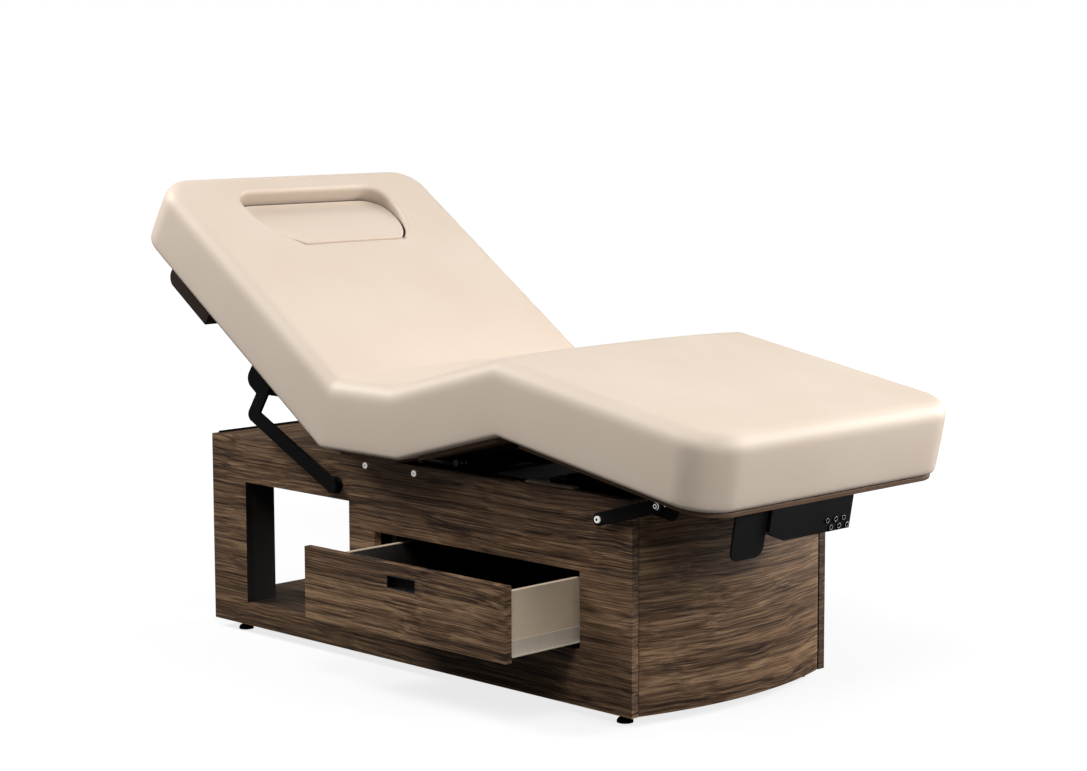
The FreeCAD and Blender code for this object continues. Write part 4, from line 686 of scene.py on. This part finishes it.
def cutRecess(blank, tool):
    cutter = blank.modifiers.new("recess", "BOOLEAN")
    cutter.operation = "DIFFERENCE"
    cutter.object = tool
    cutter.solver = "EXACT"
    bpy.context.view_layer.update()
    applyModifiers(blank)
    bpy.data.objects.remove(tool)


def remeshed(piece, voxel):
    remesh = piece.modifiers.new("remesh", "REMESH")
    remesh.mode = "VOXEL"
    remesh.voxel_size = voxel
    remesh.use_smooth_shade = True
    bpy.context.view_layer.update()
    applyModifiers(piece)


def fitted(piece, target, steps):
    # the steps that the voxels leave are evened out, and the points brought back to the surface
    soften = piece.modifiers.new("soften", "SMOOTH")
    soften.iterations = steps
    wrap = piece.modifiers.new("wrap", "SHRINKWRAP")
    wrap.target = target
    wrap.wrap_method = "NEAREST_SURFACEPOINT"
    bpy.context.view_layer.update()
    applyModifiers(piece)


puff = {
    "voxel": 0.020, "pressure": 4.0, "frames": 20,
    "cap": 0.005,  # the furthest that any point moves
    "held": 0.030,  # the cover is fixed to the boards up to this height
    "calm": (-0.765, -0.475, 0.275),  # no movement round the recess: s from, to, half width
    "fade": 0.05,
    "nearest": 4, "leastDistance": 1e-4,  # of the twin's points that move a point of the cover
}


def inflated(piece, values):
    # A coarse twin is blown up as cloth. Its movement, scaled down to the cap and faded out round
    # the recess, is carried over to the piece as the mean of the nearest points, weighted by
    # 1 / distance^2.
    twin = addObject("puffTwin", piece.data.copy())
    remeshed(twin, values["voxel"])
    rest = vertexArray(twin.data)
    held = twin.vertex_groups.new(name="held")
    held.add(np.flatnonzero(rest[:, 2] < values["held"]).tolist(), 1.0, "REPLACE")
    cloth = twin.modifiers.new("cloth", "CLOTH")
    cloth.settings.vertex_group_mass = "held"
    cloth.settings.use_pressure = True
    cloth.settings.uniform_pressure_force = values["pressure"]
    cloth.settings.effector_weights.gravity = 0.0
    cloth.point_cache.frame_end = values["frames"]
    for number in range(1, values["frames"] + 1):
        bpy.context.scene.frame_set(number)
    applyModifiers(twin)
    bpy.context.scene.frame_set(1)
    moved = vertexArray(twin.data) - rest
    bpy.data.objects.remove(twin)
    furthest = np.linalg.norm(moved, axis=1).max()
    print("cloth moved", round(float(furthest), 4))
    moved *= min(1.0, values["cap"] / furthest)
    tree = kdtree.KDTree(len(rest))
    for index, point in enumerate(rest):
        tree.insert(point, index)
    tree.balance()
    points = vertexArray(piece.data)
    shift = np.empty_like(points)
    for index, point in enumerate(points):
        found = tree.find_n(point, values["nearest"])
        weights = np.array([1 / (gap + values["leastDistance"]) ** 2 for _, _, gap in found])
        shift[index] = weights @ moved[[near for _, near, _ in found]] / weights.sum()
    start, end, half = values["calm"]
    sides = [start - points[:, 0], points[:, 0] - end, np.abs(points[:, 1]) - half]
    away = np.maximum.reduce(sides)
    setVertices(piece.data, points + shift * eased(away / values["fade"])[:, None])


def setAttribute(mesh, name, values):
    mesh.attributes.new(name, "FLOAT", "POINT").data.foreach_set("value", values.astype(np.float32))


def markRecess(piece, r, m):
    # two attributes paint shade into the cover: the height over the sunk insert's top, whose values
    # below zero are painted shadow in the gap round the insert, and "shade", painted shade that
    # grows down the recess's wall
    s, y, w = vertexArray(piece.data).T
    margin = r["margin"]
    inside = (-s > r["foldLine"] - margin) & (-s < r["end"] + margin)
    inside &= (np.abs(y) < r["halfWidth"] + margin) & (w > r["floor"] / 2)
    away = np.clip(-s - r["foldLine"], 0, None)
    sunkTop = m["height"] - away * math.tan(math.radians(insert["tilt"]))
    spare = r["foldSpare"] * (1 - np.clip(away / r["foldNear"], 0, 1))
    setAttribute(piece.data, "gapShadow", np.where(inside, w - sunkTop + spare, 1.0))
    depth = np.clip((m["edgeHeight"] - w) / r["shadeDepth"], 0, 1)
    setAttribute(piece.data, "shade", np.where(inside, r["shade"] * depth, 0.0))


def cutSection(whole, name, planes):
    # a copy of the mattress kept between planes given as (point, outward normal); each cut is
    # closed by a flat face whose rim is marked sharp
    bm = bmesh.new()
    bm.from_mesh(whole.data)
    for point, normal in planes:
        every = bm.verts[:] + bm.edges[:] + bm.faces[:]
        cut = bmesh.ops.bisect_plane(bm, geom=every, plane_co=point, plane_no=normal,
                                     clear_outer=True, dist=1e-7)
        rim = [edge for edge in cut["geom_cut"] if isinstance(edge, bmesh.types.BMEdge)]
        for edge in rim:
            edge.smooth = False
        filled = bmesh.ops.edgeloop_fill(bm, edges=rim)
        for face in filled["faces"]:
            face.smooth = False
    bmesh.ops.recalc_face_normals(bm, faces=bm.faces)
    mesh = bpy.data.meshes.new(name)
    bm.to_mesh(mesh)
    bm.free()
    mesh.materials.append(finishes["creamVinyl"])
    return addObject(name, mesh)


def makeMattress(m, r):
    blank = flatMattress(m)
    cutRecess(blank, recessTool(r, m))
    target = addObject("mattressTarget", blank.data.copy())
    remeshed(blank, m["voxel"])
    fitted(blank, target, m["softenSteps"])
    bpy.data.objects.remove(target)
    inflated(blank, puff)
    markRecess(blank, r, m)
    setVertices(blank.data, bent(vertexArray(blank.data)))
    creaseX, creaseZ = m["crease"]
    thighWay = slopeOf(m["thighAngle"])[0]
    kneeStart = np.array([creaseX + m["seatLength"], creaseZ])
    middleSeat = Vector((creaseX + m["seatLength"] / 2, 0, creaseZ))
    atThigh = kneeStart + thighWay * m["thighLength"] / 2
    middleThigh = Vector((atThigh[0], 0, atThigh[1]))
    footward = Vector((thighWay[0], 0, thighWay[1]))
    back = cutSection(blank, "mattressBack", [(middleSeat, Vector((1, 0, 0)))])
    thigh = cutSection(blank, "mattressThigh",
                       [(middleSeat, Vector((-1, 0, 0))), (middleThigh, footward)])
    leg = cutSection(blank, "mattressLeg", [(middleThigh, -footward)])
    bpy.data.objects.remove(blank)
    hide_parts("back_cushion", "back_fold", "seat_cushion")
    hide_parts("thigh_fold", "thigh_cushion")
    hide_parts("knee_fold", "leg_cushion")

    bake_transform(back)
    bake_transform(thigh)
    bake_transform(leg)


makeMattress(mattress, recess)
print("mattress in three lengths")


def makeInsert(i, r, m):
    # rings of the recess's outline, drawn in by a share of its distance from the middle: the
    # underside, the wall, a quarter turn at the upper edge, and a flat top
    top = m["height"]
    edge = recessPlan(r, i["gap"], i["gapAtFold"])
    middle = edge.mean(0)
    away = awayFromFold(edge, r)
    turn = i["edgeAtFold"] + (i["edge"] - i["edgeAtFold"]) * away
    normal = outwards(edge)
    if (normal * (edge - middle)).sum() < 0:
        normal = -normal

    def ring(plan, height):
        return np.column_stack([plan, top + height - i["foldSink"] * (1 - awayFromFold(plan, r))])

    foot = recessPlan(r, i["gap"] + i["draft"], i["gap"] + i["slope"])
    grid = [ring(middle + (foot - middle) * share, -i["thickness"]) for share in i["footShares"]]
    grid.append(ring(foot, i["footLift"] - i["thickness"]))
    grid.append(ring((foot + edge) / 2, -i["thickness"] * 0.5))
    for angle in np.linspace(0, math.pi / 2, i["edgeSteps"]):
        drawn = edge - normal * (turn * (1 - math.cos(angle)))[:, None]
        grid.append(ring(drawn, -turn * (1 - math.sin(angle))))
    rim = grid[-1][:, :2]
    for share in np.linspace(*i["topShares"]):
        grid.append(ring(middle + (rim - middle) * share, 0.0))
    pad = closedSurface("headrestPad", np.array(grid))
    points = vertexArray(pad.data)
    # painted shadow: the insert's wall under its edge and off the fold is made dark, as the gap
    # round it would be
    gapShadowed = points[:, 2] < top - i["edge"] - i["darkBelow"]
    gapShadowed &= awayFromFold(points, r) > i["darkAway"]
    setAttribute(pad.data, "gapShadow", np.where(gapShadowed, -1.0, 0.0))
    pivot = np.array([-r["foldLine"] - i["rodSetback"], top - i["rodDrop"]])
    way, up = slopeOf(i["tilt"])
    flat = points[:, [0, 2]] - pivot
    points[:, [0, 2]] = pivot + flat[:, :1] * way + flat[:, 1:] * up
    setVertices(pad.data, bent(points))
    pad.data.materials.append(finishes["creamVinyl"])
    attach(pad, "headrest")
    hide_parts("headrest_insert")


makeInsert(insert, recess, mattress)
print("head insert")


# painted shade: dark sheets on the inside of the drawer's two walls, for the shadow inside the
# drawer
drawerShade = {"thickness": 0.0006, "wall": 0.012, "lower": 0.0015}


def panelSlab(name, low, high):
    # a thin closed board between two corners: its outline at the lower and at the upper height
    (x0, y0, z0), (x1, y1, z1) = low, high
    ring = np.array([(x0, y0), (x1, y0), (x1, y1), (x0, y1)])
    grid = np.array([np.column_stack([ring, np.full(4, z)]) for z in (z0, z1)])
    return closedSurface(name, grid)


def makeDrawerShade(values):
    low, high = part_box("drawer_sides")
    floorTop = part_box("drawer_floor")[1][2]
    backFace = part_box("drawer_back")[0][1]
    top = high[2] - values["lower"]
    boards = []
    for inner, sign in ((low[0] + values["wall"], 1), (high[0] - values["wall"], -1)):
        edges = sorted((inner, inner + sign * values["thickness"]))
        boards.append(panelSlab("shadeSheet", (edges[0], low[1], floorTop), (edges[1], backFace, top)))
    settle("drawerShadeSheets", boards, "darkBoard", "drawer")


makeDrawerShade(drawerShade)


bolt = {  # on the cabinet's sides and the leg links
    "radius": 0.0068, "height": 0.0042, "socket": 0.0030, "socketDepth": 0.0022,
    "shank": 0.0038, "shankLength": 0.028, "gap": 0.0002,  # the shank ends short of the head
    "tipScale": 1.08, "tip": (0.7596, 0.4634), "pivot": (0.6019, 0.4176),  # in X and Z
    "pivotFace": 0.326, "tipFace": 0.322,
    "around": 48, "rim": 0.0012,  # height of the straight rim under the dome
    "foot": 0.96, "mouth": 1.08, "chamfer": 0.0003,  # the rim's lower edge, the socket's upper edge
    "domeFrom": 0.15, "domeTo": 1.1, "domeSteps": 7, "domeReach": 0.8, "domeLift": 0.9,
}

# painted shadow: a dark disc at the bottom of each bolt's socket
cup = {
    "around": 24, "fill": 0.98, "lift": 0.0004, "pivotLift": 0.0002,
    "profile": ((0.2, -0.0004), (0.9, -0.0004), (1.0, 0.0), (0.6, -0.0001), (0.2, -0.00015)),
}


def boltHead(name, values, centre, side, scale=1.0):
    # a profile turned about the bolt's axis: the shank, the rim, a domed top, then down into a
    # socket whose rings are hexagons, r = cos 30 / cos(angle from the middle of the nearest flat)
    turn = np.linspace(0, 2 * math.pi, values["around"], endpoint=False)
    sixth = math.pi / 3
    hexagon = math.cos(sixth / 2) / np.cos((turn + sixth / 2) % sixth - sixth / 2)
    radius, height, rim = values["radius"], values["height"], values["rim"]
    shank, socket = values["shank"], values["socket"]
    rings = [(shank, -values["shankLength"], 0), (shank, -values["gap"], 0),
             (radius * values["foot"], 0.0, 0), (radius, rim / 3, 0), (radius, rim, 0)]
    for angle in np.linspace(values["domeFrom"], values["domeTo"], values["domeSteps"]):
        lift = rim + (height - rim) * math.sin(angle) ** values["domeLift"]
        rings.append((radius * math.cos(angle) ** values["domeReach"], lift, 0))
    rings += [(socket * values["mouth"], height, 1), (socket, height - values["chamfer"], 1),
              (socket, height - values["socketDepth"], 1)]
    grid = [circle(centre, scale * reach * (hexagon if sixSided else 1), turn, side * scale * lift)
            for reach, lift, sixSided in rings]
    return closedSurface(name, np.array(grid))


def circle(centre, reach, turn, lift):
    # centre + (r cos a, lift, r sin a)
    x, z = centre[0] + reach * np.cos(turn), centre[2] + reach * np.sin(turn)
    return np.stack([x, np.full(len(turn), centre[1] + lift), z], -1)


def socketShadowDisc(name, values, socket, centre, side):
    # a disc of painted shadow at a socket's bottom: circles after a profile of (share of the
    # radius, lift)
    turn = np.linspace(0, 2 * math.pi, values["around"], endpoint=False)
    reach = socket * values["fill"]
    grid = [circle(centre, reach * share, turn, side * lift) for share, lift in values["profile"]]
    return closedSurface(name, np.array(grid))


def makeBolts(values, cupValues):
    low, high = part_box("frame_bolts")
    faces = {-1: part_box("near_side_panel")[0][1], 1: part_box("far_side_panel")[1][1]}
    height = (low[2] + high[2]) / 2
    reach = (high[2] - low[2]) / 2
    ends = (low[0] + reach, high[0] - reach)
    spots = [((x, faces[side], height), side) for side in (-1, 1) for x in ends]
    heads = settle("frameBoltHeads", [boltHead("head", values, spot, side) for spot, side in spots],
                   "boltSteelPaintedHighlight", "cabinet")
    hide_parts("frame_bolts")
    # discs of painted shadow in the sockets of the frame bolts and the link pivot bolts
    sunk = values["height"] - values["socketDepth"] + cupValues["lift"]
    paintedShade = [((x, y + side * sunk, z), side) for (x, y, z), side in spots]
    px, pz = values["pivot"]
    pivotLift = values["pivotFace"] + cupValues["pivotLift"]
    paintedShade += [((px, side * pivotLift, pz), side) for side in (-1, 1)]
    cups = [socketShadowDisc("cup", cupValues, values["socket"], spot, side) for spot, side in paintedShade]
    settle("boltSocketShadows", cups, "blackPlastic", "cabinet")
    tx, tz = values["tip"]
    for side, body in ((-1, "near_leg_link"), (1, "far_leg_link")):
        spot = (tx, side * values["tipFace"], tz)
        settle(body + "TipBolt", [boltHead("head", values, spot, side, values["tipScale"])],
               "boltSteelPaintedHighlight", body)


def torus(name, centre, axis, across, reach, thickness, steps=(40, 10)):
    # centre + (R + r cos b)(cos a, sin a) in the plane across the axis, and r sin b along it
    axis, across = np.array(axis), np.array(across)
    other = np.cross(axis, across)
    around, about = steps
    a, b = np.meshgrid(np.linspace(0, 2 * math.pi, around, endpoint=False),
                       np.linspace(0, 2 * math.pi, about, endpoint=False), indexing="ij")
    out = reach + thickness * np.cos(b)
    points = (np.array(centre) + (out * np.cos(a))[..., None] * across
              + (out * np.sin(a))[..., None] * other + (thickness * np.sin(b))[..., None] * axis)
    i, j = np.meshgrid(np.arange(around), np.arange(about), indexing="ij")
    nextI, nextJ = (i + 1) % around, (j + 1) % about
    this, beyond = i * about, nextI * about
    quads = np.stack([this + j, beyond + j, beyond + nextJ, this + nextJ], -1)
    mesh = bpy.data.meshes.new(name)
    mesh.from_pydata(points.reshape(-1, 3).tolist(), [], quads.reshape(-1, 4).tolist())
    return finishMesh(name, mesh)


socketRim = {"face": 0.5692, "first": -0.005, "pitch": 0.0255, "stagger": 0.014,
             "upper": -0.0545, "lower": -0.0705, "radius": 0.0047, "tube": 0.00035}


def makeSocketRims(values, m):
    # a thin metal ring in each of the control box's six sockets
    thighWay, legWay, legUp = slopeOf(m["thighAngle"])[0], *slopeOf(-m["legAngle"])
    knee = np.array(m["crease"]) + (m["seatLength"], 0) + thighWay * m["thighLength"]
    rims = []
    for depth, shift in ((values["upper"], 0.0), (values["lower"], values["stagger"])):
        x, z = knee + legWay * values["face"] + legUp * depth
        for k in range(3):
            y = values["first"] + shift + k * values["pitch"]
            rims.append(torus("rim", (x, y, z), (legWay[0], 0, legWay[1]), (0.0, 1.0, 0.0),
                              values["radius"], values["tube"]))
    settle("socketRims", rims, "brightSteel", "leg_rest")


makeSocketRims(socketRim, mattress)
makeBolts(bolt, cup)
print("small pieces")


studio = {
    "fill": 0.08,  # the world's light on the object
    "floorTone": 0.24, "floorBounce": 0.12,  # as the camera sees it, and as it lights the object
    "floorLift": 0.80,  # brings the unshaded floor up to white, for the camera only
    "floorNear": 1.9, "floorFar": 4.0,  # between these distances the lift grows to 1
    "floorHalf": 60.0, "floorDrop": 0.0005,
}

lampTarget = (0.0, 0.0, 0.5)
lamps = {
    "headLight": {"place": (-2.8, -1.9, 3.2), "size": (1.8, 1.8), "power": 124.0},
    "nearLight": {"place": (1.9, -2.6, 3.6), "size": (1.6, 1.6), "power": 66.0},
    "farLight": {"place": (2.1, 3.7, 1.65), "size": (2.0, 1.8), "power": 144.0},
    "footLight": {"place": (3.9, 0.5, 2.4), "size": (1.6, 1.2), "power": 58.0},
}

viewpoint = {
    "place": (4.013, -3.861, 1.3015), "yaw": 135.20, "pitch": -7.126, "roll": -0.192,
    "lens": 2499.9 / 1087 * 36, "sensor": 36.0,
}


def areaLight(name, target, place, size, power):
    lamp = bpy.data.lights.new(name, "AREA")
    lamp.shape = "RECTANGLE"
    lamp.size, lamp.size_y = size
    lamp.energy = power
    holder = addObject(name, lamp)
    holder.location = place
    holder.visible_camera = False
    holder.rotation_euler = (Vector(target) - Vector(place)).to_track_quat("-Z", "Y").to_euler()


def makeWorld(fill):
    world = bpy.data.worlds.new("studio")
    bpy.context.scene.world = world
    world.use_nodes = True
    tree = world.node_tree
    tree.nodes.clear()
    path = addNode(tree, "ShaderNodeLightPath")
    soft = addNode(tree, "ShaderNodeBackground", {"Color": (1.0, 1.0, 1.0, 1.0), "Strength": fill})
    white = addNode(tree, "ShaderNodeBackground", {"Color": (1.0, 1.0, 1.0, 1.0), "Strength": 1.0})
    mixer = addNode(tree, "ShaderNodeMixShader",
                    {0: path.outputs["Is Camera Ray"], 1: soft.outputs[0], 2: white.outputs[0]})
    addNode(tree, "ShaderNodeOutputWorld", {0: mixer.outputs[0]})


def makeFloor(values):
    corners = np.array([(-1, -1), (1, -1), (1, 1), (-1, 1)]) * values["floorHalf"]
    mesh = bpy.data.meshes.new("floor")
    points = np.column_stack([corners, np.full(4, -values["floorDrop"])])
    mesh.from_pydata(points.tolist(), [], [(0, 1, 2, 3)])
    floor = addObject("floor", mesh)
    material, tree, shader, place = newMaterial("paleFloor")
    path = addNode(tree, "ShaderNodeLightPath")
    shown = spread(tree, path.outputs["Is Camera Ray"], values["floorBounce"], values["floorTone"])
    feed(tree, shader, {"Base Color": shown, "Roughness": 0.9, "Specular IOR Level": 0.0})
    distance = addNode(tree, "ShaderNodeVectorMath", {0: place}, operation="LENGTH")
    lift = addNode(tree, "ShaderNodeMapRange",
                   {"Value": distance.outputs["Value"], "From Min": values["floorNear"],
                    "From Max": values["floorFar"], "To Min": values["floorLift"], "To Max": 1.0})
    seen = mathNode(tree, "MULTIPLY", path.outputs["Is Camera Ray"], lift.outputs[0])
    glow = addNode(tree, "ShaderNodeEmission", {"Strength": seen})
    total = addNode(tree, "ShaderNodeAddShader", {0: shader.outputs[0], 1: glow.outputs[0]})
    tree.links.new(total.outputs[0], tree.nodes["Material Output"].inputs["Surface"])
    mesh.materials.append(material)


def makeCamera(view):
    yaw, pitch, roll = (math.radians(view[key]) for key in ("yaw", "pitch", "roll"))
    flat = math.cos(pitch)
    ahead = Vector((flat * math.cos(yaw), flat * math.sin(yaw), math.sin(pitch)))
    right = Vector((math.sin(yaw), -math.cos(yaw), 0))
    up = right.cross(ahead)
    rolledRight = right * math.cos(roll) + up * math.sin(roll)
    rolledUp = up * math.cos(roll) - right * math.sin(roll)
    lens = bpy.data.cameras.new("camera")
    lens.lens = view["lens"]
    lens.sensor_width = view["sensor"]
    lens.sensor_fit = "HORIZONTAL"
    camera = addObject("camera", lens)
    turn = Matrix((rolledRight, rolledUp, -ahead)).transposed().to_4x4()
    camera.matrix_world = Matrix.Translation(view["place"]) @ turn
    bpy.context.scene.camera = camera


makeWorld(studio["fill"])
makeFloor(studio)
for name, values in lamps.items():
    areaLight(name, lampTarget, **values)
makeCamera(viewpoint)
bpy.context.scene.view_settings.view_transform = "Standard"
print("stage set")
